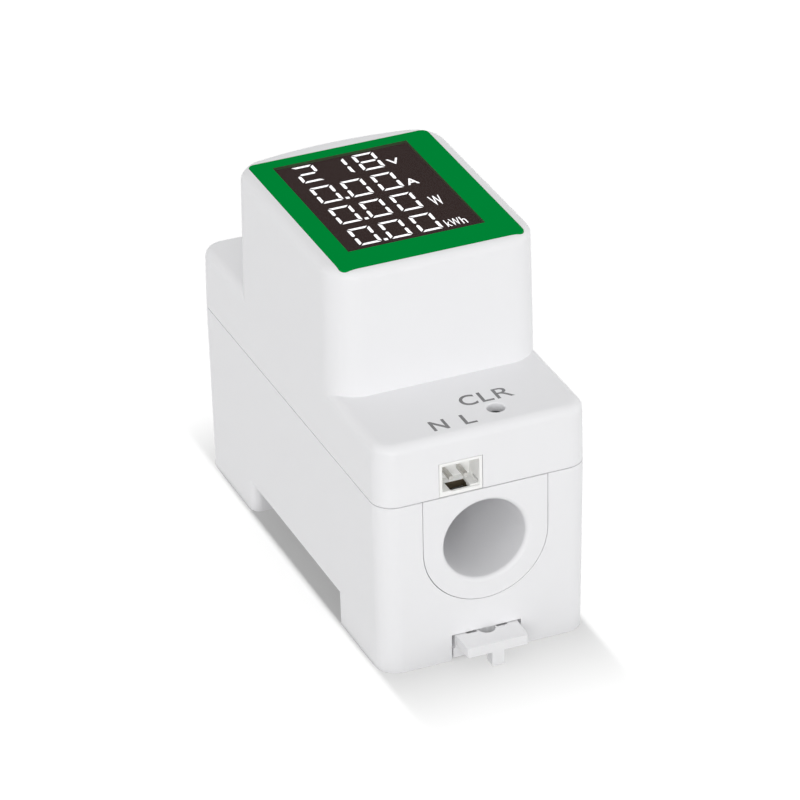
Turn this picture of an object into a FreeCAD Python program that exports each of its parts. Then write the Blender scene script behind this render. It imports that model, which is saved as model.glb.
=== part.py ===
import FreeCAD, Part
import math
import os

os.makedirs("parts", exist_ok=True)

V = FreeCAD.Vector

# All sizes are millimetres. X runs along the rail, Y from the near end with the bore mouth
# and the clip to the far end, Z from the rear feet to the read-out.

# Case
module_width = 18.0
module_count = 2
body_length = 76.5
shoulder_rise = 10.7
front_rise = 21.9
near_shoulder_length = 17.0
far_shoulder_length = 14.5
lower_draft = 0.6
upper_draft = 0.5
front_draft = 0.75
body_corner = 3.6
front_near_corner = 5.5
front_far_corner = 5.8
front_far_bow = 75.0
edge_round = 1.6
wall = 1.6
shoulder_roof = 1.2
front_roof = 1.6
inner_corner = 0.5
seam_reveal = 0.2
seam_reveal_depth = 0.4
tongue_height = 1.5
tongue_thickness = 0.7
tongue_play = 0.1

# Rail and rail notch
rail_width = 35.0
rail_flange = 1.0
rail_seat_height = 5.9
notch_near_margin = 1.4
notch_far_margin = 1.4
near_foot_length = 18.0
foot_corner = 1.7
hook_grip = 1.3
hook_lip = 1.3
hook_width = 7.0
hook_spacing = 17.0
rail_play = 0.3

# Rail clip
clip_slot_width = 12.0
clip_rail_gap = 0.35
clip_side_play = 0.25
clip_top_play = 0.15
clip_floor_gap = 0.5
clip_shoulder_width = 10.8
clip_shoulder_height = 2.2
clip_reach = 4.3
clip_lip_width = 10.4
clip_lip_thickness = 1.7
clip_lip_corner = 0.4
clip_grip = 1.3
clip_tip_thickness = 1.4
tab_width = 2.1
tab_depth = 2.0
tab_floor_gap = 0.3
tool_hole_radius = 1.45
relief_width = 1.8
relief_spacing = 5.2
relief_depth = 0.6
relief_length = 1.6
relief_reach = 0.35
guide_rib_thickness = 0.8
guide_rib_height = 2.5
guide_rib_reach = 1.2
guide_play = 0.2
guide_face_margin = 1.5
clip_pocket_floor = 0.7
spring_wire = 0.4
spring_diameter = 2.4
spring_length = 9.2
spring_turns = 8
spring_play = 0.25
spring_post_length = 1.5
spring_post_margin = 4.3

# Bore plates, bore sleeve and current transformer
bore_radius = 7.0
bore_lip = 0.8
sleeve_wall = 1.2
sleeve_lap = 4.0
sleeve_board_gap = 0.5
lap_play = 0.02
plate_side_rim = 2.55
plate_play = 0.12
plate_flange_reach = 1.4
plate_flange_thickness = 1.2
plate_board_gap = 0.3
ct_length = 13.0
ct_ring_thickness = 4.7
ct_floor_gap = 0.3
ct_sleeve_play = 0.3
ct_case_wall = 0.7
ct_winding_thickness = 0.7
ct_play = 0.15
ct_gap_angle = 24.0
ct_saddle_length = 5.0
ct_saddle_height = 3.5
lead_radius = 0.5
lead_angle = 30.0
lead_bend = 2.2
lead_straight = 0.6

# Boards
board_thickness = 1.2
board_lift = 0.4
board_play = 0.6
board_corner = 2.0
pin_half = 0.32
pin_tail = 0.3
hole_play = 0.15

# Housing posts and screws
post_sleeve_gap = 0.5
post_end_inset = 7.25
post_radius = 3.5
boss_radius = 2.8
screw_shank_radius = 1.3
screw_head_radius = 2.3
screw_head_height = 1.6
screw_length = 17.5
screw_seat_drop = 10.7
screw_hole_spare = 1.0
screw_play = 0.25
thread_play = 0.02
cross_width = 0.7
cross_depth = 0.8

# Supply socket
header_centre_x = -4.12
header_width = 7.3
header_height = 5.55
header_depth = 9.6
header_side_wall = 0.5
header_floor = 0.5
header_roof = 0.45
header_cavity_depth = 4.0
header_face_inset = 0.1
header_play = 0.1
header_pin_pitch = 2.5
header_pin_height = 2.1
header_pin_length = 3.0
header_pin_bend = 3.0
header_window_width = 3.5
header_window_length = 2.8
header_lip = 0.45
header_lip_drop = 0.2
header_slit_rise = 0.15
header_slit_height = 0.45
header_slit_length = 2.6
header_well_depth = 2.2

# Clear button
button_x = 4.2
button_from_end = 5.25
button_hole_radius = 1.475
button_hole_chamfer = 0.15
button_collar_wall = 0.8
button_collar_depth = 0.35
button_radius = 1.7
button_depth = 2.2
button_flange = 0.4
button_flange_height = 0.5
button_round = 0.2
switch_side = 6.0
switch_height = 3.5
switch_plate_thickness = 0.3
switch_play = 0.06
switch_leg_width = 0.8
switch_leg_spacing = 4.5
switch_leg_reach = 1.0
switch_leg_thickness = 0.3
dome_radius = 2.0
dome_height = 0.45
dome_thickness = 0.08

# Front label, window and display
label_side_rim = 2.0
label_near_rim = 1.45
label_far_rim = 3.25
label_corner = 1.2
label_thickness = 0.5
label_play = 0.04
window_left_margin = 3.57
window_right_margin = 4.52
window_near_margin = 5.7
window_far_margin = 2.45
lcd_margin = 1.3
lcd_near_margin = 0.7
lcd_play = 0.5
lcd_glass = 1.1
lcd_ledge = 0.6
lcd_pin_count = 12
lcd_pin_pitch = 1.8
lcd_pin_width = 0.5
lcd_pin_thickness = 0.3
lcd_pin_grip = 0.4
tray_wall = 1.0
tray_floor = 0.6
guide_thickness = 2.8
led_count = 2
led_width = 3.0
led_depth = 1.0
led_height = 1.4
led_spacing = 10.0
display_board_inset = 3.4
display_board_near_gap = 1.0
display_board_far_lap = 1.0
display_board_corner = 3.0
display_post_radius = 1.9
display_post_side_inset = 6.5
display_post_end_inset = 2.65
display_screw_shank = 0.95
display_screw_head = 1.8
display_screw_head_height = 1.2
display_screw_length = 5.0
display_screw_spare = 0.5
display_rib_width = 3.0
display_rib_x = 6.5
display_rib_thickness = 1.6

# Connector between the boards
riser_x = 5.0
riser_pin_count = 6
riser_pitch = 2.54
riser_base_height = 2.5
riser_base_width = 2.5
riser_from_board_end = 4.6
riser_tip_gap = 0.2

# Electronic parts: widths along X, depths along Y, places from the current transformer or the ends
fuse_radius = 1.6
fuse_length = 6.5
fuse_span = 10.0
fuse_x = -9.0
near_row_from_end = 13.75
bridge_width = 4.7
bridge_depth = 3.9
bridge_height = 2.4
bridge_legs = 2
bridge_x = 8.0
capacitor_row_gap = 8.5
film_width = 13.0
film_depth = 6.0
film_height = 12.0
film_round = 0.5
film_pitch = 10.0
film_x = -7.0
varistor_radius = 4.5
varistor_thickness = 3.6
varistor_pitch = 5.0
varistor_x = 8.0
filter_radius = 4.0
filter_height = 12.0
filter_pitch = 3.5
filter_groove = 0.35
filter_groove_height = 1.6
filter_x = -8.5
filter_row_gap = 8.0
choke_radius = 3.5
choke_height = 8.0
choke_flange = 1.2
choke_neck_radius = 1.6
choke_winding_radius = 3.1
choke_pitch = 5.0
choke_x = 10.0
far_row_from_end = 15.75
chip_width = 4.9
chip_depth = 3.9
chip_height = 1.6
chip_legs = 4
chip_x = -9.5
meter_chip_width = 8.2
meter_chip_depth = 5.3
meter_chip_legs = 12
meter_chip_pitch = 0.65
meter_chip_from_end = 12.75
chip_lift = 0.1
chip_leg_thickness = 0.2
chip_leg_reach = 1.0
wide_pitch = 2.54
narrow_pitch = 1.27
crystal_width = 11.0
crystal_depth = 4.6
crystal_height = 3.6
crystal_pitch = 4.88
crystal_from_end = 5.25

# Worked-out heights: the case is as deep as the rail seat, the transformer and the boards need
floor_top = rail_seat_height + wall
sleeve_radius = bore_radius + sleeve_wall
ct_inner_radius = sleeve_radius + ct_sleeve_play
ct_outer_radius = ct_inner_radius + ct_ring_thickness
bore_height = floor_top + ct_floor_gap + ct_outer_radius
board_bottom = bore_height + sleeve_radius + sleeve_board_gap
board_top = board_bottom + board_thickness
seam_height = board_top - board_lift
shoulder_height = seam_height + shoulder_rise
front_height = shoulder_height + front_rise

# Worked-out places of the case
half_width = module_width * module_count / 2
near_end = -body_length / 2
far_end = body_length / 2
lower_slope = math.tan(math.radians(lower_draft))
upper_slope = math.tan(math.radians(upper_draft))
front_slope = math.tan(math.radians(front_draft))
front_near = near_end + near_shoulder_length
front_far = far_end - far_shoulder_length
notch_near = near_end + near_foot_length
rail_near = notch_near + notch_near_margin
rail_far = rail_near + rail_width
notch_far = rail_far + notch_far_margin
post_x = sleeve_radius + post_sleeve_gap + post_radius
post_y = far_end - post_end_inset
board_half = half_width - wall - board_play
board_end = far_end - wall - board_play
pin_foot = board_bottom - pin_tail
screw_seat = board_bottom - screw_seat_drop
origin_shift = V(0, clip_reach / 2, 0)

# Worked-out places of the clip
clip_top = rail_seat_height - rail_flange - clip_rail_gap
clip_slot_height = clip_top + clip_top_play
clip_face = near_end + lower_slope * (seam_height - clip_slot_height / 2)
clip_tip = rail_near + clip_grip
clip_lip_near = near_end - clip_reach
clip_pocket_bottom = clip_floor_gap + clip_pocket_floor
spring_post_near = clip_face + spring_post_margin
spring_start = spring_post_near + spring_post_length
spring_height = (clip_pocket_bottom + clip_slot_height) / 2

# Worked-out places of the bore and the current transformer
lap_radius = bore_radius + sleeve_wall / 2
plate_half_width = sleeve_radius + plate_side_rim
ct_half_chord = math.sqrt(ct_outer_radius ** 2 - (board_bottom - bore_height) ** 2)
lead_ring = (ct_inner_radius + ct_outer_radius) / 2
lead_x = lead_ring * math.cos(math.radians(lead_angle))
lead_z = bore_height + lead_ring * math.sin(math.radians(lead_angle))
lead_y = ct_length / 2 + lead_straight + lead_bend

# Worked-out places of the socket and the clear button
header_x0 = header_centre_x - header_width / 2
header_x1 = header_centre_x + header_width / 2
header_y0 = near_end + header_face_inset
header_z1 = board_top + header_height
header_floor_top = board_top + header_floor
header_cavity_end = header_y0 + header_cavity_depth
header_pin_y = header_cavity_end + header_pin_bend
header_window_x0 = header_centre_x - header_window_width / 2
header_window_x1 = header_centre_x + header_window_width / 2
header_window_y0 = header_y0 + header_lip
header_window_y1 = header_window_y0 + header_window_length
button_y = near_end + button_from_end
button_top = shoulder_height - button_depth
switch_top = board_top + switch_height
switch_plate_bottom = switch_top - switch_plate_thickness
flange_top = switch_plate_bottom - switch_play
flange_bottom = flange_top - button_flange_height
dome_seat = flange_bottom - dome_height

# Worked-out places of the label and the display
label_half = half_width - upper_slope * (front_height - seam_height) - label_side_rim
label_near = front_near + front_slope * (front_height - shoulder_height) + label_near_rim
label_far = front_far - front_slope * (front_height - shoulder_height) - label_far_rim
label_floor = front_height - label_thickness
window_x0 = -label_half + window_left_margin
window_x1 = label_half - window_right_margin
window_y0 = label_near + window_near_margin
window_y1 = label_far - window_far_margin
lcd_x0 = window_x0 - lcd_margin
lcd_x1 = window_x1 + lcd_margin
lcd_y0 = window_y0 - lcd_near_margin
lcd_y1 = window_y1 + lcd_margin
lcd_centre_x = (lcd_x0 + lcd_x1) / 2
lcd_middle = label_floor - lcd_glass
lcd_bottom = lcd_middle - lcd_glass
tray_top_of_floor = lcd_bottom - guide_thickness
tray_bottom = tray_top_of_floor - tray_floor
display_board_bottom = tray_bottom - board_thickness
display_board_half = half_width - display_board_inset
display_board_near = front_near + wall + display_board_near_gap
display_board_far = lcd_y1 + display_board_far_lap
display_post_x = half_width - display_post_side_inset
display_post_y = front_near + wall + display_post_end_inset
led_y1 = lcd_y1 - tray_wall - hole_play
led_y0 = led_y1 - led_depth
riser_y = display_board_far - riser_from_board_end

# Worked-out places of the electronic parts
near_row_y = near_end + near_row_from_end
capacitor_row_y = -ct_length / 2 - capacitor_row_gap
far_row_y = far_end - far_row_from_end
filter_row_y = far_row_y - filter_row_gap
meter_chip_y = far_end - meter_chip_from_end
crystal_y = far_end - crystal_from_end


# Basic shapes
def box(x0, x1, y0, y1, z0, z1):
    corner = V(min(x0, x1), min(y0, y1), min(z0, z1))
    return Part.makeBox(abs(x1 - x0), abs(y1 - y0), abs(z1 - z0), corner)


def rod(radius, start, end):
    direction = end - start
    return Part.makeCylinder(radius, direction.Length, start, direction)


def tube(outer, inner, start, end):
    return rod(outer, start, end).cut(rod(inner, start, end))


def upright(radius, x, y, low, high):
    return rod(radius, V(x, y, low), V(x, y, high))


def prism(corners, direction):
    return Part.Face(Part.makePolygon(corners + corners[:1])).extrude(direction)


def frustum(half_low, half_high, near_low, near_high, far_low, far_high, low, high):
    wedge = Part.makeWedge(-half_low, low, -far_low, -far_high, -half_high,
                           half_low, high, -near_low, -near_high, half_high)
    wedge.rotate(V(0, 0, 0), V(1, 0, 0), 90)
    return wedge


def upright_edges(shape, low, high, wanted):
    edges = []
    for edge in shape.Edges:
        ends = [vertex.Point for vertex in edge.Vertexes]
        if len(ends) != 2 or abs(ends[0].z - ends[1].z) < 0.95 * (high - low):
            continue
        if wanted((ends[0] + ends[1]) * 0.5):
            edges.append(edge)
    return edges


def level_edges(shape, height):
    close = 0.001
    edges = []
    for edge in shape.Edges:
        if all(abs(vertex.Point.z - height) < close for vertex in edge.Vertexes):
            if abs(edge.CenterOfMass.z - height) < close:
                edges.append(edge)
    return edges


def any_place(point):
    return True


def rounded_plate(x0, x1, y0, y1, z0, z1, radius):
    plate = box(x0, x1, y0, y1, z0, z1)
    return plate.makeFillet(radius, upright_edges(plate, z0, z1, any_place))


def both_sides(shape):
    return shape.fuse(shape.mirror(V(0, 0, 0), V(1, 0, 0)))


def export(shapes, name):
    placed = Part.makeCompound([shape.translated(origin_shift) for shape in shapes])
    placed.exportStep("parts/" + name + ".step")
    state = "ok" if placed.isValid() else "INVALID"
    print(name, len(placed.Solids), "solids", round(placed.Volume, 2), "mm3", state)


# Forms of the case: inset is how far a form lies inside the outer skin
def drafted_form(inset, low, high, slope):
    drop_low = inset + slope * (low - seam_height)
    drop_high = inset + slope * (high - seam_height)
    form = frustum(half_width - drop_low, half_width - drop_high,
                   near_end + drop_low, near_end + drop_high,
                   far_end - drop_low, far_end - drop_high, low, high)
    corner = max(body_corner - inset, inner_corner)
    return form.makeFillet(corner, upright_edges(form, low, high, any_place))


def lower_form(inset, low, high):
    return drafted_form(inset, low, high, -lower_slope)


def shoulder_form(inset, low, high):
    return drafted_form(inset, low, high, upper_slope)


def front_form(inset, low, high):
    rise_low = inset + front_slope * (low - shoulder_height)
    rise_high = inset + front_slope * (high - shoulder_height)
    side_low = half_width - inset - upper_slope * (low - seam_height)
    side_high = half_width - inset - upper_slope * (high - seam_height)
    beyond = front_far + wall
    form = frustum(side_low, side_high, front_near + rise_low, front_near + rise_high,
                   beyond, beyond, low, high)
    bow = Part.makeCone(front_far_bow - rise_low, front_far_bow - rise_high, high - low,
                        V(0, front_far - front_far_bow, low), V(0, 0, 1))
    form = form.common(bow)
    middle = (front_near + front_far) / 2
    near_edges = upright_edges(form, low, high, lambda point: point.y < middle)
    form = form.makeFillet(max(front_near_corner - inset, inner_corner), near_edges)
    far_edges = upright_edges(form, low, high, lambda point: point.y > middle)
    return form.makeFillet(max(front_far_corner - inset, inner_corner), far_edges)


# U shape of a bore plate between two values of y, closed at the top
def u_form(half, top, start, end):
    round_part = rod(half, V(0, start, bore_height), V(0, end, bore_height))
    upper_part = box(-half, half, start, end, bore_height, bore_height + half)
    return round_part.fuse(upper_part).common(box(-half, half, start, end, 0, top))


def post_places():
    return [(x, y) for x in (-post_x, post_x) for y in (-post_y, post_y)]


# Rear shell of the case: two feet, the rail notch with its fixed hooks, and the clip channel
def rail_hook(centre_x):
    lip_top = rail_seat_height - rail_flange - rail_play
    x0 = centre_x - hook_width / 2
    x1 = centre_x + hook_width / 2
    root = notch_far + wall / 2
    lip = box(x0, x1, rail_far - hook_grip, root, lip_top - hook_lip, lip_top)
    stop = box(x0, x1, rail_far + rail_play / 2, root, lip_top - hook_lip, rail_seat_height + wall / 2)
    return lip.fuse(stop)


def clip_channel(shell):
    slot = clip_slot_width / 2
    shell = shell.cut(box(-slot, slot, near_end - wall, notch_near + wall / 2, -wall, clip_slot_height))
    rib = box(slot - guide_rib_reach, slot + wall / 2, clip_face + guide_face_margin,
              notch_near - wall / 2, guide_rib_height, guide_rib_height + guide_rib_thickness)
    spring_post = box(-spring_diameter / 2, spring_diameter / 2, spring_post_near, spring_start,
                      clip_pocket_bottom + guide_play, clip_slot_height + wall / 2)
    return shell.fuse(both_sides(rib)).fuse(spring_post)


def foot_pockets():
    hollow = lower_form(wall, wall, floor_top + wall / 2)
    far_pocket = box(-half_width, half_width, notch_far + wall, far_end, 0, floor_top + wall)
    near_pocket = box(clip_slot_width / 2 + wall, half_width, near_end, notch_near - wall,
                      0, floor_top + wall)
    return hollow.common(far_pocket.fuse(both_sides(near_pocket)))


def lower_housing():
    shell = lower_form(0, 0, seam_height)
    beyond = half_width + wall
    shell = shell.cut(box(-beyond, beyond, notch_near, notch_far, -wall, rail_seat_height))
    foot_edges = upright_edges(shell, 0, rail_seat_height,
                               lambda point: abs(point.y - notch_far) < seam_reveal)
    shell = shell.makeFillet(foot_corner, foot_edges)
    shell = shell.cut(lower_form(wall, floor_top, seam_height + wall)).cut(foot_pockets())

    rebate = wall - tongue_thickness - tongue_play
    shell = shell.cut(lower_form(rebate, seam_height - tongue_height - tongue_play, seam_height + wall))
    reveal = lower_form(-wall, seam_height - seam_reveal / 2, seam_height + wall)
    reveal = reveal.cut(lower_form(seam_reveal_depth, seam_height - wall, seam_height + 2 * wall))
    shell = shell.cut(reveal)

    for x, y in post_places():
        shell = shell.fuse(upright(post_radius, x, y, 0, board_bottom))
        shell = shell.cut(upright(screw_head_radius + screw_play, x, y, -wall, screw_seat))
        shell = shell.cut(upright(screw_shank_radius + screw_play, x, y, 0, board_bottom))

    reach = wall + plate_flange_thickness
    for end in (near_end, far_end):
        shell = shell.cut(u_form(plate_half_width, seam_height + wall, end - reach, end + reach))
    saddle = box(-ct_outer_radius, ct_outer_radius, -ct_saddle_length / 2, ct_saddle_length / 2,
                 floor_top - wall / 2, floor_top + ct_saddle_height)
    saddle = saddle.cut(rod(ct_outer_radius, V(0, -ct_length, bore_height), V(0, ct_length, bore_height)))
    shell = clip_channel(shell.fuse(saddle))
    for centre_x in (-hook_spacing / 2, hook_spacing / 2):
        shell = shell.fuse(rail_hook(centre_x))
    export([shell.removeSplitter()], "lower_housing")


# Front shell of the case: shoulders, raised front, tongue, screw bosses and display fixings
def tongue():
    ring = shoulder_form(wall - tongue_thickness, seam_height - tongue_height, seam_height + wall)
    ring = ring.cut(shoulder_form(wall, seam_height - 2 * wall, seam_height + 2 * wall))
    gap = plate_half_width + plate_flange_reach + plate_flange_thickness / 2
    for end in (near_end, far_end):
        ring = ring.cut(box(-gap, gap, end - 2 * wall, end + 2 * wall, 0, front_height))
    return ring


def display_rib(x, start, low, high):
    rib = box(x - display_rib_width / 2, x + display_rib_width / 2, start, front_far, low, high)
    return rib.common(front_form(wall / 2, low - wall, high + wall / 2))


def label_recess():
    recess = rounded_plate(-label_half, label_half, label_near, label_far,
                           label_floor, front_height + wall, label_corner)
    opening = box(lcd_x0 - lcd_play, lcd_x1 + lcd_play, lcd_y0 - lcd_play, lcd_y1 + lcd_play,
                  lcd_bottom, label_floor + label_thickness / 2)
    return recess.fuse(opening)


def button_hole():
    middle = shoulder_height - button_hole_chamfer
    hole = upright(button_hole_radius, button_x, button_y, shoulder_height - 2 * shoulder_roof, middle)
    mouth = Part.makeCone(button_hole_radius, button_hole_radius + 2 * button_hole_chamfer,
                          2 * button_hole_chamfer, V(button_x, button_y, middle))
    return hole.fuse(mouth)


def socket_slot():
    return box(header_x0 - header_play, header_x1 + header_play, near_end - wall, near_end + 2 * wall,
               seam_height - wall, header_z1 + header_play)


def upper_housing():
    slab = shoulder_form(0, seam_height, shoulder_height)
    slab = slab.makeFillet(edge_round, level_edges(slab, shoulder_height))
    block = front_form(0, shoulder_height - 2 * edge_round, front_height)
    block = block.makeFillet(edge_round, level_edges(block, front_height))
    slab_roof = shoulder_height - shoulder_roof
    shell = slab.fuse(block)
    shell = shell.cut(shoulder_form(wall, seam_height - wall, slab_roof))
    shell = shell.cut(front_form(wall, slab_roof - wall, front_height - front_roof))
    reveal = shoulder_form(-wall, seam_height - wall, seam_height + seam_reveal / 2)
    reveal = reveal.cut(shoulder_form(seam_reveal_depth, seam_height - 2 * wall, seam_height + wall))
    shell = shell.cut(reveal).fuse(tongue())

    for x, y in post_places():
        shell = shell.fuse(upright(boss_radius, x, y, board_top, slab_roof + shoulder_roof / 2))
        hole_end = screw_seat + screw_length + screw_hole_spare
        shell = shell.cut(upright(screw_shank_radius + thread_play, x, y, board_top, hole_end))
    for x in (-display_post_x, display_post_x):
        post_root = front_height - front_roof / 2
        shell = shell.fuse(upright(display_post_radius, x, display_post_y, tray_bottom, post_root))
        hole_end = display_board_bottom + display_screw_length + display_screw_spare
        shell = shell.cut(upright(display_screw_shank + thread_play, x, display_post_y,
                                  tray_bottom, hole_end))
    for x in (-display_rib_x, display_rib_x):
        shell = shell.fuse(display_rib(x, lcd_y1 + lcd_play, tray_bottom, front_height - front_roof))
        shell = shell.fuse(display_rib(x, lcd_y1, display_board_bottom - display_rib_thickness,
                                       display_board_bottom))
    shell = shell.fuse(upright(button_hole_radius + button_collar_wall, button_x, button_y,
                               slab_roof - button_collar_depth, slab_roof + shoulder_roof / 2))
    for cut in (label_recess(), socket_slot(), button_hole()):
        shell = shell.cut(cut)
    export([shell.removeSplitter()], "upper_housing")


# Bore plates: a U plate that drops into its end wall, flanged inside, with half of the sleeve
def bore_plate(side, name):
    outer = side * far_end
    beyond = outer + side * wall
    wall_inside = side * (far_end - wall)
    flange_end = side * (far_end - wall - plate_flange_thickness - plate_play)
    plug_half = plate_half_width - plate_play
    flange_top_z = board_bottom - plate_board_gap
    plug = u_form(plug_half, seam_height - seam_reveal / 2, wall_inside, beyond)
    plug = plug.fuse(u_form(plug_half, flange_top_z, flange_end, beyond))
    plug = plug.common(lower_form(0, 0, seam_height))
    flange = u_form(plate_half_width + plate_flange_reach, flange_top_z, flange_end, beyond)
    flange = flange.common(lower_form(wall + plate_play, 0, seam_height))

    joint = V(0, side * sleeve_lap / 2, bore_height)
    other = V(0, -side * sleeve_lap / 2, bore_height)
    body = plug.fuse(flange).fuse(rod(sleeve_radius, joint, V(0, flange_end + side * wall, bore_height)))
    if side < 0:
        body = body.fuse(rod(lap_radius - lap_play, joint, other))
    else:
        body = body.fuse(tube(sleeve_radius, lap_radius + lap_play, joint, other))
    body = body.cut(rod(bore_radius, other, V(0, 2 * outer, bore_height)))
    if side < 0:
        well = box(header_window_x0, header_window_x1, header_window_y0, header_window_y1,
                   seam_height - header_well_depth, seam_height)
        body = body.cut(well)

    mouth = [edge for edge in body.Edges
             if abs(edge.CenterOfMass.y - outer) < wall / 2
             and abs(edge.BoundBox.XLength - 2 * bore_radius) < plate_play]
    export([body.makeFillet(bore_lip, mouth).removeSplitter()], name)


# Rail clip with its finger lip, and the spring that pulls it back in
def rail_clip():
    half = clip_slot_width / 2 - clip_side_play
    shoulder = clip_shoulder_width / 2
    lip = clip_lip_width / 2
    lip_bottom = clip_top - clip_lip_thickness
    body = box(-half, half, clip_face, clip_tip, clip_floor_gap, clip_shoulder_height)
    body = body.fuse(box(-shoulder, shoulder, clip_face, clip_tip, clip_shoulder_height, clip_top))

    plate_root = clip_face + relief_length
    plate = prism([V(-lip, clip_lip_near, lip_bottom), V(lip, clip_lip_near, lip_bottom),
                   V(shoulder, plate_root, lip_bottom), V(-shoulder, plate_root, lip_bottom)],
                  V(0, 0, clip_lip_thickness))
    corners = upright_edges(plate, lip_bottom, clip_top, lambda point: point.y < near_end)
    plate = plate.makeFillet(clip_lip_corner, corners)
    tab = box(-tab_width / 2, tab_width / 2, clip_lip_near, clip_lip_near + tab_depth,
              tab_floor_gap, clip_top - clip_lip_thickness / 2)
    body = body.fuse(plate).fuse(tab)

    groove_bottom = guide_rib_height - guide_play
    groove = box(clip_slot_width / 2 - guide_rib_reach - guide_play, half + wall,
                 clip_face + guide_face_margin - guide_play, clip_tip + wall,
                 groove_bottom, groove_bottom + guide_rib_thickness + 2 * guide_play)
    relief = box(relief_spacing / 2 - relief_width / 2, relief_spacing / 2 + relief_width / 2,
                 clip_face - relief_reach, clip_face + relief_length, clip_top - relief_depth, clip_top)
    body = body.cut(both_sides(groove)).cut(both_sides(relief))
    pocket_half = spring_diameter / 2 + spring_wire / 2 + spring_play
    body = body.cut(box(-pocket_half, pocket_half, spring_post_near - guide_play,
                        spring_start + spring_length, clip_pocket_bottom, clip_top))
    body = body.cut(upright(tool_hole_radius, 0, clip_face, 0, clip_top))

    ramp_rise = clip_top - clip_tip_thickness
    ramp = prism([V(-half, clip_tip, ramp_rise), V(-half, clip_tip, 0), V(-half, clip_tip - ramp_rise, 0)],
                 V(2 * half, 0, 0))
    export([body.cut(ramp).removeSplitter()], "rail_clip")


def clip_spring():
    length = spring_length - spring_wire
    radius = spring_diameter / 2
    pitch = length / spring_turns
    first = V(radius, spring_start + spring_wire / 2, spring_height)
    helix = Part.makeHelix(pitch, length, radius)
    helix.rotate(V(0, 0, 0), V(1, 0, 0), -90)
    helix.translate(V(0, first.y, first.z))
    section = Part.Wire(Part.makeCircle(spring_wire / 2, first, V(0, pitch, -2 * math.pi * radius)))
    export([Part.Wire(helix.Edges).makePipeShell([section], True, True)], "clip_spring")


# Current transformer round the sleeve, held by the saddle in the rear shell
def ct_ring(outer, inner, start, end):
    return tube(outer, inner, V(0, start, bore_height), V(0, end, bore_height))


def current_transformer():
    end = ct_length / 2
    lid_start = end - ct_case_wall
    cup = ct_ring(ct_outer_radius, ct_inner_radius, -end, lid_start)
    hollow = ct_ring(ct_outer_radius - ct_case_wall, ct_inner_radius + ct_case_wall,
                     ct_case_wall - end, end)
    export([cup.cut(hollow)], "ct_case")
    export([ct_ring(ct_outer_radius, ct_inner_radius, lid_start, end)], "ct_case_lid")

    half = end - ct_case_wall - ct_play
    outer = ct_outer_radius - ct_case_wall - ct_play
    inner = ct_inner_radius + ct_case_wall + ct_play
    turn = ct_winding_thickness
    core = ct_ring(outer - turn, inner + turn, turn - half, half - turn)
    spread = 2 * outer * math.tan(math.radians(ct_gap_angle / 2))
    gap = prism([V(0, -end, bore_height), V(spread, -end, bore_height + 2 * outer),
                 V(-spread, -end, bore_height + 2 * outer)], V(0, ct_length, 0))
    export([core], "ct_core")
    export([ct_ring(outer, inner, -half, half).cut(core).cut(gap)], "ct_winding")
    export([ct_lead(-lead_x), ct_lead(lead_x)], "ct_leads")


def ct_lead(x):
    start = V(x, ct_length / 2, lead_z)
    bend_start = start + V(0, lead_straight, 0)
    bend_end = bend_start + V(0, lead_bend, lead_bend)
    diagonal = lead_bend * math.sqrt(0.5)
    bend_middle = bend_start + V(0, diagonal, lead_bend - diagonal)
    path = Part.Wire([Part.makeLine(start, bend_start),
                      Part.Arc(bend_start, bend_middle, bend_end).toShape(),
                      Part.makeLine(bend_end, V(x, bend_end.y, board_top + pin_tail))])
    section = Part.Wire(Part.makeCircle(lead_radius, start, V(0, 1, 0)))
    return path.makePipeShell([section], True, False)


# Pins of the parts on the main board, as places where the board is drilled
def pin_pair(x, y, spacing):
    return [(x - spacing / 2, y), (x + spacing / 2, y)]


def pin_line(x, y, count, pitch):
    return [(x + (index - (count - 1) / 2) * pitch, y) for index in range(count)]


def square_pin(x, y, low, high):
    return box(x - pin_half, x + pin_half, y - pin_half, y + pin_half, low, high)


header_pins = pin_pair(header_centre_x, header_pin_y, header_pin_pitch)
fuse_pins = pin_pair(fuse_x, near_row_y, fuse_span)
film_pins = pin_pair(film_x, capacitor_row_y, film_pitch)
varistor_pins = pin_pair(varistor_x, capacitor_row_y, varistor_pitch)
filter_pins = pin_pair(filter_x, filter_row_y, filter_pitch)
choke_pins = pin_pair(choke_x, far_row_y, choke_pitch)
crystal_pins = pin_pair(0, crystal_y, crystal_pitch)
riser_places = pin_line(riser_x, riser_y, riser_pin_count, riser_pitch)
drilled = (header_pins + fuse_pins + film_pins + varistor_pins + filter_pins
           + choke_pins + crystal_pins + riser_places)


def pin_hole(x, y, low, high):
    return upright(pin_half * math.sqrt(2) + hole_play, x, y, low, high)


# Main board: screwed between the posts and the bosses, with a window for the transformer
def main_board():
    board = rounded_plate(-board_half, board_half, -board_end, board_end,
                          board_bottom, board_top, board_corner)
    window_x = ct_half_chord + board_play
    window_y = ct_length / 2 + board_play
    board = board.cut(box(-window_x, window_x, -window_y, window_y, board_bottom, board_top))
    board = board.cut(box(header_window_x0, header_window_x1, -board_end, header_window_y1,
                          board_bottom, board_top))
    for x, y in post_places():
        board = board.cut(upright(screw_shank_radius + screw_play, x, y, board_bottom, board_top))
    for x in (-lead_x, lead_x):
        board = board.cut(upright(lead_radius + hole_play, x, lead_y, board_bottom, board_top))
    for x, y in drilled:
        board = board.cut(pin_hole(x, y, board_bottom, board_top))
    export([board], "main_board")


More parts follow.
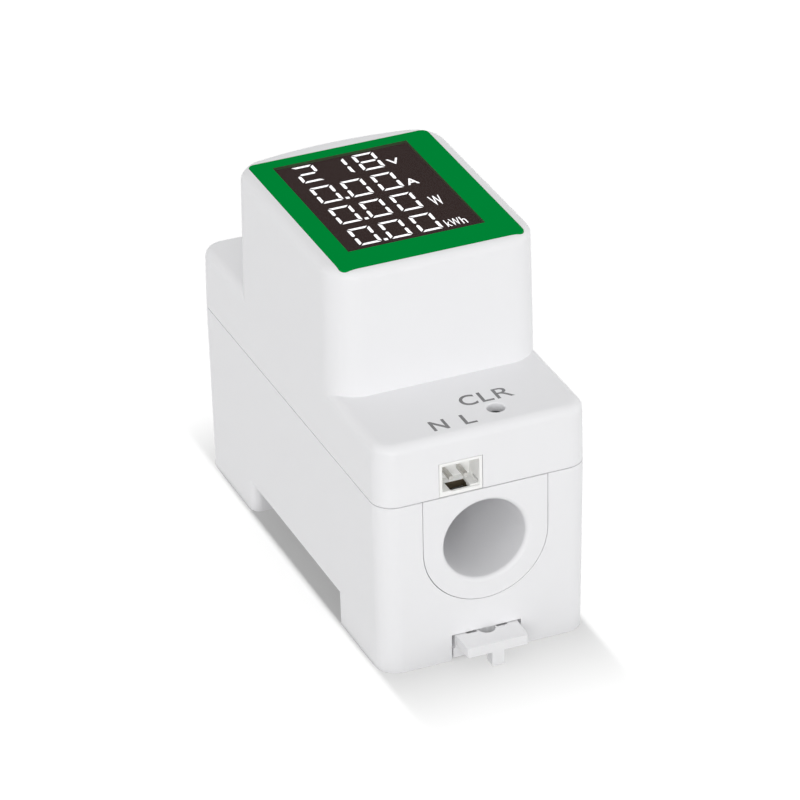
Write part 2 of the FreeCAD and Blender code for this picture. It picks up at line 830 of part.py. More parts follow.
# Supply socket: a shrouded header with two bent pins, flush with the near wall
def voltage_socket():
    pins = []
    for x, y in header_pins:
        height = board_top + header_pin_height
        level = box(x - pin_half, x + pin_half, header_cavity_end - header_pin_length, y + pin_half,
                    height - pin_half, height + pin_half)
        pins.append(level.fuse(square_pin(x, y, pin_foot, height)).removeSplitter())

    cavity_x0 = header_x0 + header_side_wall
    cavity_x1 = header_x1 - header_side_wall
    body = box(header_x0, header_x1, header_y0, header_y0 + header_depth, board_top, header_z1)
    skirt = box(header_x0, header_x1, header_y0, -board_end - header_play,
                seam_height + header_play, board_top)
    cavity = box(cavity_x0, cavity_x1, header_y0, header_cavity_end,
                 header_floor_top, header_z1 - header_roof)
    latch_window = box(header_window_x0, header_window_x1, header_window_y0, header_window_y1,
                       seam_height, header_floor_top)
    lip = box(header_window_x0, cavity_x1, header_y0, header_window_y0,
              header_floor_top - header_lip_drop, header_floor_top)
    slit_bottom = header_floor_top + header_slit_rise
    slit = box(cavity_x1, header_x1, header_window_y0, header_window_y0 + header_slit_length,
               slit_bottom, slit_bottom + header_slit_height)
    body = body.fuse(skirt)
    for cut in (cavity, latch_window, lip, slit, *pins):
        body = body.cut(cut)
    export([body.removeSplitter()], "voltage_header")
    export(pins, "voltage_pins")


# Leaded parts of the mains supply
def with_pins(body, pins, height):
    for x, y in pins:
        body = body.fuse(square_pin(x, y, pin_foot, height))
    return body.removeSplitter()


def fuse_resistor():
    height = board_top + fuse_radius + hole_play
    shape = rod(fuse_radius, V(fuse_x - fuse_length / 2, near_row_y, height),
                V(fuse_x + fuse_length / 2, near_row_y, height))
    wire = box(fuse_x - fuse_span / 2, fuse_x + fuse_span / 2, near_row_y - pin_half,
               near_row_y + pin_half, height - pin_half, height + pin_half)
    export([with_pins(shape.fuse(wire), fuse_pins, height + pin_half)], "fuse_resistor")


def varistor():
    height = board_top + varistor_radius + hole_play
    half = varistor_thickness / 2
    disc = rod(varistor_radius, V(varistor_x, capacitor_row_y - half, height),
               V(varistor_x, capacitor_row_y + half, height))
    export([with_pins(disc, varistor_pins, height)], "varistor")


def film_capacitor():
    block = rounded_plate(film_x - film_width / 2, film_x + film_width / 2,
                          capacitor_row_y - film_depth / 2, capacitor_row_y + film_depth / 2,
                          board_top, board_top + film_height, film_round)
    export([with_pins(block, film_pins, board_top + film_height / 2)], "film_capacitor")


def filter_capacitor():
    can = upright(filter_radius, filter_x, filter_row_y, board_top, board_top + filter_height)
    low = board_top + filter_groove_height
    start = V(filter_x, filter_row_y, low)
    groove = tube(filter_radius, filter_radius - filter_groove, start, start + V(0, 0, 2 * filter_groove))
    export([with_pins(can.cut(groove), filter_pins, low)], "filter_capacitor")


def choke():
    top = board_top + choke_height
    neck_low = board_top + choke_flange
    neck_high = top - choke_flange
    drum = upright(choke_neck_radius, choke_x, far_row_y, board_top, top)
    drum = drum.fuse(upright(choke_radius, choke_x, far_row_y, board_top, neck_low))
    drum = drum.fuse(upright(choke_radius, choke_x, far_row_y, neck_high, top))
    winding = upright(choke_winding_radius, choke_x, far_row_y, neck_low, neck_high).cut(drum)
    export([with_pins(drum, choke_pins, neck_low)], "choke_core")
    export([winding], "choke_winding")


def crystal():
    can = rounded_plate(-crystal_width / 2, crystal_width / 2, crystal_y - crystal_depth / 2,
                        crystal_y + crystal_depth / 2, board_top, board_top + crystal_height,
                        crystal_depth / 2 - hole_play)
    export([with_pins(can, crystal_pins, board_top + crystal_height / 2)], "crystal")


# Flat chips: each is made at the origin, legs along both long sides
def chip(width, depth, height, legs, pitch):
    body = box(-width / 2, width / 2, -depth / 2, depth / 2, chip_lift, height)
    for x, side in [(x, side) for x, _ in pin_line(0, 0, legs, pitch) for side in (-1, 1)]:
        edge = side * depth / 2
        shoulder = edge + side * chip_leg_thickness
        leg = box(x - pitch / 4, x + pitch / 4, edge, shoulder, 0, height / 2)
        foot = box(x - pitch / 4, x + pitch / 4, edge, edge + side * chip_leg_reach,
                   0, chip_leg_thickness)
        body = body.fuse(leg.fuse(foot))
    return body.removeSplitter()


def chips():
    bridge = chip(bridge_width, bridge_depth, bridge_height, bridge_legs, wide_pitch)
    export([bridge.translated(V(bridge_x, near_row_y, board_top))], "bridge_rectifier")
    supply = chip(chip_width, chip_depth, chip_height, chip_legs, narrow_pitch)
    export([supply.translated(V(chip_x, far_row_y, board_top))], "supply_chip")
    meter = chip(meter_chip_width, meter_chip_depth, chip_height, meter_chip_legs, meter_chip_pitch)
    export([meter.translated(V(0, meter_chip_y, board_top))], "metering_chip")
    driver = meter.mirror(V(0, 0, 0), V(0, 0, 1))
    export([driver.translated(V(0, 0, display_board_bottom))], "display_controller")


# Clear button: the tall actuator of a push switch under the hole in the near shoulder
def clear_switch():
    half = switch_side / 2
    x0 = button_x - half
    x1 = button_x + half
    y0 = button_y - half
    y1 = button_y + half
    well = upright(button_radius + button_flange + switch_play, button_x, button_y,
                   dome_seat, switch_plate_bottom)
    export([box(x0, x1, y0, y1, board_top, switch_plate_bottom).cut(well)], "clear_switch")
    plate_hole = upright(button_radius + switch_play, button_x, button_y,
                         switch_plate_bottom, switch_top)
    plate = box(x0, x1, y0, y1, switch_plate_bottom, switch_top).cut(plate_hole)
    export([plate], "clear_switch_plate")

    legs = []
    for edge, side in ((x0, -1), (x1, 1)):
        for y in (button_y - switch_leg_spacing / 2, button_y + switch_leg_spacing / 2):
            y_low = y - switch_leg_width / 2
            y_high = y + switch_leg_width / 2
            leg = box(edge, edge + side * switch_leg_thickness, y_low, y_high,
                      board_top, board_top + switch_height / 2)
            foot = box(edge, edge + side * switch_leg_reach, y_low, y_high,
                       board_top, board_top + switch_leg_thickness)
            legs.append(leg.fuse(foot).removeSplitter())
    export(legs, "clear_switch_legs")


def clear_switch_dome():
    radius = (dome_radius ** 2 + dome_height ** 2) / (2 * dome_height)
    centre = V(button_x, button_y, dome_seat + dome_height - radius)
    shell = Part.makeSphere(radius, centre).cut(Part.makeSphere(radius - dome_thickness, centre))
    slice_of_shell = upright(dome_radius + button_flange, button_x, button_y, dome_seat, flange_top)
    export([shell.common(slice_of_shell)], "clear_switch_dome")


def clear_button():
    stem = upright(button_radius, button_x, button_y, flange_bottom, button_top)
    stem = stem.makeFillet(button_round, level_edges(stem, button_top))
    flange = upright(button_radius + button_flange, button_x, button_y, flange_bottom, flange_top)
    export([stem.fuse(flange).removeSplitter()], "clear_button")


# Label and window: one flush layer in the recess of the raised front
def label_and_window():
    film = rounded_plate(-label_half + label_play, label_half - label_play, label_near + label_play,
                         label_far - label_play, label_floor, front_height, label_corner - label_play)
    window = box(window_x0, window_x1, window_y0, window_y1, label_floor, front_height)
    export([film.cut(window)], "front_label")
    export([window], "display_window")


# Display: two glasses, their pins, and a lit guide in a tray on the display board
def display_glass():
    export([box(lcd_x0, lcd_x1, lcd_y0 + lcd_ledge, lcd_y1, lcd_middle, label_floor)], "lcd_front_glass")
    export([box(lcd_x0, lcd_x1, lcd_y0, lcd_y1, lcd_bottom, lcd_middle)], "lcd_rear_glass")


def lcd_pins():
    pins = []
    for x, _ in pin_line(lcd_centre_x, lcd_y0, lcd_pin_count, lcd_pin_pitch):
        x0 = x - lcd_pin_width / 2
        x1 = x + lcd_pin_width / 2
        outer = lcd_y0 - lcd_pin_thickness
        grip_top = lcd_middle + lcd_pin_thickness
        leg = box(x0, x1, outer, lcd_y0, display_board_bottom - pin_tail, grip_top)
        grip = box(x0, x1, outer, lcd_y0 + lcd_pin_grip, lcd_middle, grip_top)
        pins.append(leg.fuse(grip).removeSplitter())
    export(pins, "lcd_pins")


def led_places():
    return pin_line(lcd_centre_x, led_y0, led_count, led_spacing)


def led_box(x, margin, top):
    half = led_width / 2 + margin
    return box(x - half, x + half, led_y0 - margin, led_y1 + margin, tray_bottom, top)


def backlight():
    x0 = lcd_x0 + hole_play
    x1 = lcd_x1 - hole_play
    y0 = lcd_y0 + hole_play
    inner_x0 = x0 + tray_wall
    inner_x1 = x1 - tray_wall
    inner_y0 = y0 + tray_wall
    inner_y1 = lcd_y1 - tray_wall
    tray = box(x0, x1, y0, lcd_y1, tray_bottom, lcd_bottom)
    tray = tray.cut(box(inner_x0, inner_x1, inner_y0, inner_y1, tray_top_of_floor, lcd_bottom))
    for x, _ in led_places():
        tray = tray.cut(led_box(x, hole_play, tray_top_of_floor))
    export([tray], "backlight_tray")
    guide = box(inner_x0 + hole_play, inner_x1 - hole_play, inner_y0 + hole_play,
                led_y0 - hole_play, tray_top_of_floor, lcd_bottom)
    export([guide], "light_guide")
    export([led_box(x, 0, tray_bottom + led_height) for x, _ in led_places()], "backlight_leds")


def display_board():
    board = rounded_plate(-display_board_half, display_board_half, display_board_near,
                          display_board_far, display_board_bottom, tray_bottom, display_board_corner)
    for x in (-display_post_x, display_post_x):
        board = board.cut(upright(display_screw_shank + hole_play, x, display_post_y,
                                  display_board_bottom, tray_bottom))
    for x, y in riser_places:
        board = board.cut(pin_hole(x, y, display_board_bottom, tray_bottom))
    for x, y in pin_line(lcd_centre_x, lcd_y0 - lcd_pin_thickness / 2, lcd_pin_count, lcd_pin_pitch):
        board = board.cut(pin_hole(x, y, display_board_bottom, tray_bottom))
    export([board], "display_board")


# Connector that joins the boards
def riser():
    half_length = riser_pin_count * riser_pitch / 2
    pins = []
    for x, y in riser_places:
        pins.append(square_pin(x, y, pin_foot, tray_bottom - riser_tip_gap))
    strips = []
    for low in (board_top, display_board_bottom - riser_base_height):
        strip = box(riser_x - half_length, riser_x + half_length, riser_y - riser_base_width / 2,
                    riser_y + riser_base_width / 2, low, low + riser_base_height)
        for pin in pins:
            strip = strip.cut(pin)
        strips.append(strip)
    export(strips, "riser_header")
    export(pins, "riser_pins")


# Screws, each with its head below and a cross in the head
def screw(head_radius, head_height, shank_radius, length, x, y, seat):
    body = upright(head_radius, x, y, seat - head_height, seat)
    body = body.fuse(upright(shank_radius, x, y, seat, seat + length))
    long_half = head_radius - cross_width
    slot = box(x - long_half, x + long_half, y - cross_width / 2, y + cross_width / 2,
               seat - head_height, seat - head_height + cross_depth)
    crossing = box(x - cross_width / 2, x + cross_width / 2, y - long_half, y + long_half,
                   seat - head_height, seat - head_height + cross_depth)
    return body.cut(slot.fuse(crossing)).removeSplitter()


def screws():
    long_screws = [screw(screw_head_radius, screw_head_height, screw_shank_radius, screw_length,
                         x, y, screw_seat) for x, y in post_places()]
    export(long_screws, "housing_screws")
    short_screws = [screw(display_screw_head, display_screw_head_height, display_screw_shank,
                          display_screw_length, x, display_post_y, display_board_bottom)
                    for x in (-display_post_x, display_post_x)]
    export(short_screws, "display_board_screws")


lower_housing()
upper_housing()
bore_plate(-1, "near_bore_plate")
bore_plate(1, "far_bore_plate")
rail_clip()
clip_spring()
current_transformer()
main_board()
voltage_socket()
fuse_resistor()
varistor()
film_capacitor()
filter_capacitor()
choke()
crystal()
chips()
clear_switch()
clear_switch_dome()
clear_button()
label_and_window()
display_glass()
lcd_pins()
backlight()
display_board()
riser()
screws()
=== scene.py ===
import bmesh
import bpy
import math
from mathutils import Matrix, Vector


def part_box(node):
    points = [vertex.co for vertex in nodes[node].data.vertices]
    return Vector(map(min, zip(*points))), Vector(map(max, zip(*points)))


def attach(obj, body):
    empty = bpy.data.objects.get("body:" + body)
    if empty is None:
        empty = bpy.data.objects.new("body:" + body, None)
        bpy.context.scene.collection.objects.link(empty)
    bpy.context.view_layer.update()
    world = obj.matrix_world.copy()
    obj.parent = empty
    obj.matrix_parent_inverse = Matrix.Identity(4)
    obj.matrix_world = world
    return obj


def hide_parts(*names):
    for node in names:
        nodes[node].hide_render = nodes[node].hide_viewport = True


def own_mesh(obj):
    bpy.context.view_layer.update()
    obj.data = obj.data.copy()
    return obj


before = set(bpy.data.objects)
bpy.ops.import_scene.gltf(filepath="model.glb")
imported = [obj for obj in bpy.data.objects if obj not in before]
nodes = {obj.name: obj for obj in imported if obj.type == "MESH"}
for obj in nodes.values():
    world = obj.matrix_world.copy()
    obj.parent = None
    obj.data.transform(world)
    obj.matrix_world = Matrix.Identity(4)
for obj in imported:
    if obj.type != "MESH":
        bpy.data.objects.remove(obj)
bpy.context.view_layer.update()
mm = 0.001

# Camera
# A long lens looks down on the near end of the meter from its left, as in a catalogue picture.
# The picture is square, 800 by 800.
camera_azimuth = math.radians(-22.55)
camera_elevation = math.radians(29.66)
camera_roll = math.radians(-1.234)
camera_distance = 829.98 * mm
camera_focal_pixels = 5109.7
picture_pixels = 800
sensor_width = 36.0
camera_aim = Vector((1.769 * mm, 2.15 * mm, 26.05 * mm))


def camera_placement():
    back = Vector((math.sin(camera_azimuth) * math.cos(camera_elevation),
                   -math.cos(camera_azimuth) * math.cos(camera_elevation),
                   math.sin(camera_elevation)))
    level_right = (-back).cross(Vector((0, 0, 1))).normalized()
    level_up = level_right.cross(-back)
    right = level_right * math.cos(camera_roll) + level_up * math.sin(camera_roll)
    up = level_up * math.cos(camera_roll) - level_right * math.sin(camera_roll)
    turn = Matrix((right, up, back)).transposed().to_4x4()
    return Matrix.Translation(camera_aim + back * camera_distance) @ turn


def placed(name, data):
    thing = bpy.data.objects.new(name, data)
    bpy.context.scene.collection.objects.link(thing)
    return thing


camera_data = bpy.data.cameras.new("camera")
camera_data.sensor_width = sensor_width
camera_data.lens = camera_focal_pixels * sensor_width / picture_pixels
camera_data.clip_start = 0.01
camera = placed("camera", camera_data)
camera.matrix_world = camera_placement()
bpy.context.scene.camera = camera
bpy.context.scene.view_settings.view_transform = "Standard"

# Floor and studio light
# A pale sweep in a round white tent, brighter low down, with a soft box before the near end,
# from its left, and a weak one at its right. A strip high overhead lights the sweep alone. It
# runs along the meter, so its soft shadow lies beyond the two ends and the rest stays white.
floor_half = 3.0
floor_drop = 0.02 * mm
floor_grey = 0.162
floor_seen_grey = 0.196
floor_glow = 0.30
tent_top_level = 0.573
tent_foot_level = 0.50
tent_fall = 2.0
box_aim = (0, 0, 0.03)
front_box_place = (-0.43, -0.98, 0.40)
front_box_size = (0.6, 0.4)
front_box_power = 3.7
side_box_place = (0.98, -0.15, 0.25)
side_box_size = (0.5, 0.4)
side_box_power = 1.0
strip_height = 8.0
strip_size = (0.26, 6.6)
strip_power = 2070.0
strip_shift = 0.55


def soft_box(name, place, target, size, power):
    data = bpy.data.lights.new(name, "AREA")
    data.shape = "RECTANGLE"
    data.size, data.size_y = size
    data.energy = power
    lamp = placed(name, data)
    aim = (Vector(target) - Vector(place)).to_track_quat("-Z", "Y")
    lamp.matrix_world = Matrix.Translation(Vector(place)) @ aim.to_matrix().to_4x4()
    return lamp


def feed(tree, node, inputs):
    for socket, value in inputs.items():
        if isinstance(value, bpy.types.NodeSocket):
            tree.links.new(value, node.inputs[socket])
        else:
            node.inputs[socket].default_value = value
    return node


def added(tree, kind, inputs):
    return feed(tree, tree.nodes.new(kind), inputs)


def reckon(tree, operation, *terms):
    step = tree.nodes.new("ShaderNodeMath")
    step.operation = operation
    return feed(tree, step, dict(enumerate(terms))).outputs[0]


def ranged(tree, share, low, high):
    span = added(tree, "ShaderNodeMapRange", {"Value": share, "To Min": low, "To Max": high})
    return span.outputs["Result"]


def axes_of(tree, place):
    return added(tree, "ShaderNodeSeparateXYZ", {0: place}).outputs


def seen_directly(tree):
    path = tree.nodes.new("ShaderNodeLightPath").outputs
    seen = path["Is Camera Ray"]
    for ray in ("Is Glossy Ray", "Is Transmission Ray"):
        seen = reckon(tree, "MAXIMUM", seen, path[ray])
    return seen


def floor_material():
    material = bpy.data.materials.new("floor_pale")
    material.use_nodes = True
    tree = material.node_tree
    tree.nodes.clear()
    seen = seen_directly(tree)
    grey = ranged(tree, seen, floor_grey, floor_seen_grey)
    glow = reckon(tree, "MULTIPLY", seen, floor_glow)
    matt = added(tree, "ShaderNodeBsdfDiffuse", {"Color": grey})
    shine = added(tree, "ShaderNodeEmission", {"Strength": glow})
    both = added(tree, "ShaderNodeAddShader", {0: matt.outputs[0], 1: shine.outputs[0]})
    added(tree, "ShaderNodeOutputMaterial", {"Surface": both.outputs[0]})
    return material


def tent_level(tree):
    direction = tree.nodes.new("ShaderNodeTexCoord").outputs["Generated"]
    lowness = ranged(tree, axes_of(tree, direction)["Z"], 1, 0)
    fall = reckon(tree, "POWER", lowness, tent_fall)
    return reckon(tree, "MULTIPLY_ADD", fall, tent_foot_level, tent_top_level)


def studio_world():
    world = bpy.data.worlds.new("studio")
    world.use_nodes = True
    tree = world.node_tree
    tree.nodes.clear()
    tent, white = (added(tree, "ShaderNodeBackground", {"Color": (1, 1, 1, 1), "Strength": level})
                   for level in (tent_level(tree), 1.0))
    mix = added(tree, "ShaderNodeMixShader",
                {"Fac": seen_directly(tree), 1: tent.outputs[0], 2: white.outputs[0]})
    added(tree, "ShaderNodeOutputWorld", {"Surface": mix.outputs[0]})
    return world


floor_mesh = bpy.data.meshes.new("floor")
floor_corners = [(floor_half * x, floor_half * y, -floor_drop)
                 for x, y in ((-1, -1), (1, -1), (1, 1), (-1, 1))]
floor_mesh.from_pydata(floor_corners, [], [(0, 1, 2, 3)])
floor_mesh.materials.append(floor_material())
floor = placed("floor", floor_mesh)
bpy.context.scene.world = studio_world()
soft_box("front_box", front_box_place, box_aim, front_box_size, front_box_power)
soft_box("side_box", side_box_place, box_aim, side_box_size, side_box_power)
strip = soft_box("overhead_strip", (0, strip_shift, strip_height), (0, strip_shift, 0),
                 strip_size, strip_power)
strip_lights = bpy.data.collections.new("lit by the strip")
strip_lights.objects.link(floor)
strip.light_linking.receiver_collection = strip_lights
strip_passes = bpy.data.collections.new("passed by the strip")
strip_passes.objects.link(nodes["rail_clip"])
strip_passes.collection_objects[0].light_linking.link_state = "EXCLUDE"
strip.light_linking.blocker_collection = strip_passes

# Case shells and bore plates
# Moulded in a pale engineering plastic with a fine satin spark finish. The rear shell, the
# front shell and the two U plates come from the same mix, so they share one material.
case_tone = (0.88, 0.88, 0.893, 1)
case_roughness = 0.46
case_grain_size = 0.16 * mm
case_grain_depth = 0.0035 * mm
flow_scale = 90
weld_distance = 0.001 * mm
crease_angle = math.radians(24)


def node_group(name, tree_kind, inputs, outputs):
    group = bpy.data.node_groups.new(name, tree_kind)
    for way, sockets in (("INPUT", inputs), ("OUTPUT", outputs)):
        for socket, kind in sockets.items():
            group.interface.new_socket(socket, in_out=way, socket_type="NodeSocket" + kind)
    given = group.nodes.new("NodeGroupInput").outputs
    return group, given, group.nodes.new("NodeGroupOutput")


def noise_field(tree, scale, detail):
    place = tree.nodes.new("ShaderNodeTexCoord").outputs["Object"]
    noise = added(tree, "ShaderNodeTexNoise", {"Vector": place, "Scale": scale, "Detail": detail})
    return noise.outputs["Fac"]


def vector_step(tree, operation, inputs):
    step = tree.nodes.new("ShaderNodeVectorMath")
    step.operation = operation
    return feed(tree, step, inputs).outputs[0]


def moulded_finish_group():
    group, given, made = node_group(
        "moulded finish", "ShaderNodeTree",
        {"Color": "Color", "Roughness": "Float", "Grain Size": "Float", "Tone Spread": "Float",
         "Gloss Spread": "Float"},
        {"Color": "Color", "Roughness": "Float", "Height": "Float"})
    grain = noise_field(group, reckon(group, "DIVIDE", 1, given["Grain Size"]), 2)
    flow = reckon(group, "SUBTRACT", noise_field(group, flow_scale, 3), 0.5)
    tone = reckon(group, "MULTIPLY_ADD", flow, given["Tone Spread"], 1)
    gloss = reckon(group, "MULTIPLY_ADD", flow, given["Gloss Spread"], given["Roughness"])
    colour = vector_step(group, "SCALE", {0: given["Color"], "Scale": tone})
    feed(group, made, {"Color": colour, "Roughness": gloss, "Height": grain})
    return group


moulded_finish = moulded_finish_group()


def fresh_material(name):
    material = bpy.data.materials.new(name)
    material.use_nodes = True
    return material, material.node_tree


def dress(material, inputs):
    feed(material.node_tree, material.node_tree.nodes["Principled BSDF"], inputs)


def effect(tree, group, inputs):
    node = tree.nodes.new("ShaderNodeGroup")
    node.node_tree = group
    return feed(tree, node, inputs).outputs


def moulded_plastic(name, tone, roughness, grain_size, grain_depth,
                    tone_spread=0.02, gloss_spread=0.08):
    material, tree = fresh_material(name)
    finish = effect(tree, moulded_finish, {
        "Color": tone, "Roughness": roughness, "Grain Size": grain_size,
        "Tone Spread": tone_spread, "Gloss Spread": gloss_spread})
    bump = added(tree, "ShaderNodeBump",
                 {"Strength": 1, "Distance": grain_depth, "Height": finish["Height"]})
    dress(material, {"Base Color": finish["Color"], "Roughness": finish["Roughness"],
                     "Normal": bump.outputs["Normal"]})
    return material


def welded_shading_tree():
    tree, given, made = node_group(
        "welded shading", "GeometryNodeTree",
        {"Geometry": "Geometry", "Weld Distance": "Float", "Crease Angle": "Float"},
        {"Geometry": "Geometry"})
    weld = added(tree, "GeometryNodeMergeByDistance",
                 {"Geometry": given["Geometry"], "Distance": given["Weld Distance"]})
    angle = tree.nodes.new("GeometryNodeInputMeshEdgeAngle").outputs["Unsigned Angle"]
    sharp = reckon(tree, "GREATER_THAN", angle, given["Crease Angle"])
    faces = added(tree, "GeometryNodeSetShadeSmooth",
                  {"Geometry": weld.outputs["Geometry"], "Shade Smooth": True})
    faces.domain = "FACE"
    edges = added(tree, "GeometryNodeSetShadeSmooth",
                  {"Geometry": faces.outputs["Geometry"], "Selection": sharp,
                   "Shade Smooth": False})
    edges.domain = "EDGE"
    feed(tree, made, {"Geometry": edges.outputs["Geometry"]})
    return tree


welded_shading = welded_shading_tree()


def socket_identifier(tree, name):
    return next(item.identifier for item in tree.interface.items_tree
                if item.name == name and item.in_out == "INPUT")


def finish_node(name, material):
    piece = nodes[name]
    piece.data.materials.clear()
    piece.data.materials.append(material)
    weld = piece.modifiers.new("welded shading", "NODES")
    weld.node_group = welded_shading
    weld[socket_identifier(welded_shading, "Weld Distance")] = weld_distance
    weld[socket_identifier(welded_shading, "Crease Angle")] = crease_angle
    even = piece.modifiers.new("even normals", "WEIGHTED_NORMAL")
    even.keep_sharp = True


case_white = moulded_plastic("case_white", case_tone, case_roughness,
                             case_grain_size, case_grain_depth)
for case_piece in ("lower_housing", "upper_housing", "near_bore_plate", "far_bore_plate"):
    finish_node(case_piece, case_white)

# Rail clip
# A separate moulding that slides out of the near foot, in the same pale plastic with a
# smoother, slightly glossier skin from its own polished tool.
clip_white = moulded_plastic("clip_white", (0.87, 0.87, 0.88, 1), 0.40, 0.12 * mm, 0.002 * mm)
finish_node("rail_clip", clip_white)

# Clip spring
# A compression spring of hard-drawn steel wire with closed ends. It lies in the channel between
# the rear shell and the clip, and pulls the clip back in after it has been drawn out.
spring_turns = 8
spring_wire_radius = 0.2 * mm
spring_steps = 20
wire_sides = 8
line_shade = 0.88
line_gloss = (0.75, 1.3)
spring_low, spring_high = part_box("clip_spring")
spring_centre = (spring_low + spring_high) / 2
spring_reach = (spring_high.x - spring_low.x) / 2 - spring_wire_radius
spring_length = spring_high.y - spring_low.y


def blended(tree, share, low, high):
    mix = tree.nodes.new("ShaderNodeMix")
    mix.data_type = "RGBA"
    return feed(tree, mix, {"Factor": share, "A": low, "B": high}).outputs["Result"]


def drawn_metal(name, tone, roughness, line_size):
    material, tree = fresh_material(name)
    lines = noise_field(tree, 1 / line_size, 4)
    dark = tuple(part * line_shade for part in tone[:3]) + (1,)
    low, high = (roughness * share for share in line_gloss)
    dress(material, {"Metallic": 1, "Roughness": ranged(tree, lines, low, high),
                     "Base Color": blended(tree, lines, dark, tone)})
    return material


def point_at(tree, x, y, z):
    return added(tree, "ShaderNodeCombineXYZ", {0: x, 1: y, 2: z}).outputs[0]


def close_tree(tree, flow, metal, made):
    whole = added(tree, "GeometryNodeRealizeInstances", {"Geometry": flow})
    finish = added(tree, "GeometryNodeSetMaterial",
                   {"Geometry": whole.outputs["Geometry"], "Material": metal})
    feed(tree, made, {"Geometry": finish.outputs["Geometry"]})


def wound_wire_tree(name, own_sizes, wire_path):
    sizes = dict.fromkeys(("Turns", "Steps per Turn", "Wire Radius") + own_sizes, "Float")
    tree, given, made = node_group(name, "GeometryNodeTree", {**sizes, "Metal": "Material"},
                                   {"Geometry": "Geometry"})
    line = tree.nodes.new("GeometryNodeCurvePrimitiveLine")
    count = reckon(tree, "MULTIPLY_ADD", given["Turns"], given["Steps per Turn"], 1)
    steps = added(tree, "GeometryNodeResampleCurve",
                  {"Curve": line.outputs["Curve"], "Count": count})
    share = tree.nodes.new("GeometryNodeSplineParameter").outputs["Factor"]
    turn = reckon(tree, "MULTIPLY", share, given["Turns"])
    bent = added(tree, "GeometryNodeSetPosition",
                 {"Geometry": steps.outputs["Curve"], "Position": wire_path(tree, given, turn)})
    section = added(tree, "GeometryNodeCurvePrimitiveCircle",
                    {"Resolution": wire_sides, "Radius": given["Wire Radius"]})
    drawn = added(tree, "GeometryNodeCurveToMesh",
                  {"Curve": bent.outputs["Geometry"], "Profile Curve": section.outputs["Curve"],
                   "Fill Caps": True})
    close_tree(tree, drawn.outputs["Mesh"], given["Metal"], made)
    return tree


def evaluated_mesh(holder):
    bpy.context.view_layer.update()
    ready = holder.evaluated_get(bpy.context.evaluated_depsgraph_get())
    mesh = bpy.data.meshes.new_from_object(ready)
    bpy.data.objects.remove(holder)
    return mesh


def smooth_all(piece):
    for face in piece.data.polygons:
        face.use_smooth = True
    return piece


def made_by_tree(name, tree, sizes, points=()):
    start = bpy.data.meshes.new(name + "_start")
    start.from_pydata(list(points), [], [])
    maker = placed(name + "_maker", start)
    modifier = maker.modifiers.new(tree.name, "NODES")
    modifier.node_group = tree
    for size, value in sizes.items():
        modifier[socket_identifier(tree, size)] = value
    mesh = evaluated_mesh(maker)
    bpy.data.meshes.remove(start)
    mesh.name = name
    return smooth_all(placed(name, mesh))


def spring_path(tree, given, turn):
    angle = reckon(tree, "MULTIPLY", turn, math.tau)
    wire = reckon(tree, "MULTIPLY", given["Wire Radius"], 2)
    open_turns = reckon(tree, "SUBTRACT", given["Turns"], 2)
    open_length = reckon(tree, "MULTIPLY_ADD", wire, -3, given["Free Length"])
    pitch = reckon(tree, "DIVIDE", open_length, open_turns)
    first = reckon(tree, "MINIMUM", turn, 1)
    past_first = reckon(tree, "MAXIMUM", reckon(tree, "SUBTRACT", turn, 1), 0)
    middle = reckon(tree, "MINIMUM", past_first, open_turns)
    last_start = reckon(tree, "SUBTRACT", given["Turns"], 1)
    last = reckon(tree, "MAXIMUM", reckon(tree, "SUBTRACT", turn, last_start), 0)
    closed = reckon(tree, "MULTIPLY", reckon(tree, "ADD", first, last), wire)
    opened = reckon(tree, "MULTIPLY_ADD", middle, pitch, given["Wire Radius"])
    along = reckon(tree, "ADD", closed, opened)
    reach = given["Coil Radius"]
    x = reckon(tree, "MULTIPLY_ADD", reckon(tree, "COSINE", angle), reach, given["Centre X"])
    y = reckon(tree, "ADD", along, given["Start Y"])
    z = reckon(tree, "MULTIPLY_ADD", reckon(tree, "SINE", angle), reach, given["Centre Z"])
    return point_at(tree, x, y, z)


spring_steel = drawn_metal("spring_steel", (0.60, 0.60, 0.60, 1), 0.27, 0.12 * mm)
spring_sizes = ("Coil Radius", "Free Length", "Start Y", "Centre X", "Centre Z")
spring_tree = wound_wire_tree("compression spring", spring_sizes, spring_path)
spring = made_by_tree("clip_spring_coil", spring_tree, {
    "Turns": float(spring_turns), "Steps per Turn": float(spring_steps),
    "Wire Radius": spring_wire_radius, "Coil Radius": spring_reach, "Free Length": spring_length,
    "Start Y": spring_low.y, "Centre X": spring_centre.x, "Centre Z": spring_centre.z,
    "Metal": spring_steel})
finish_node("clip_spring", spring_steel)
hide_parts("clip_spring")
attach(spring, "housing")
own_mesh(spring)

# Printed letters on the near shoulder
# Grey marks pad-printed in one pass: N and L over the two socket pins and CLR over the pin
# hole. Each letter stands a hundredth of a millimetre off the plastic, as ink does.
print_grey = (0.212, 0.212, 0.216, 1)
ink_height = 0.012 * mm
letter_growth = {"N": 0.017, "L": 0.009, "C": 0.014, "R": 0.0}
shoulder_above_socket = 4.75 * mm
shoulder_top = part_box("voltage_header")[1].z + shoulder_above_socket
shoulder_letters = (("C", -0.24, 2.48, -30.75, -27.52), ("L", 3.12, 5.12, -30.70, -27.58),
                    ("R", 5.66, 8.54, -30.70, -27.58), ("N", -7.40, -4.74, -35.88, -32.85),
                    ("L", -2.15, -0.10, -35.95, -32.88))
row_shift = 2.15
letter_weld = 0.0005 * mm


def letter_mesh(name, letter, stroke_growth):
    curve = bpy.data.curves.new(name, "FONT")
    curve.body = letter
    curve.size = 1
    curve.offset = stroke_growth
    curve.fill_mode = "FRONT"
    mesh = evaluated_mesh(placed(name, curve))
    bpy.data.curves.remove(curve)
    return mesh


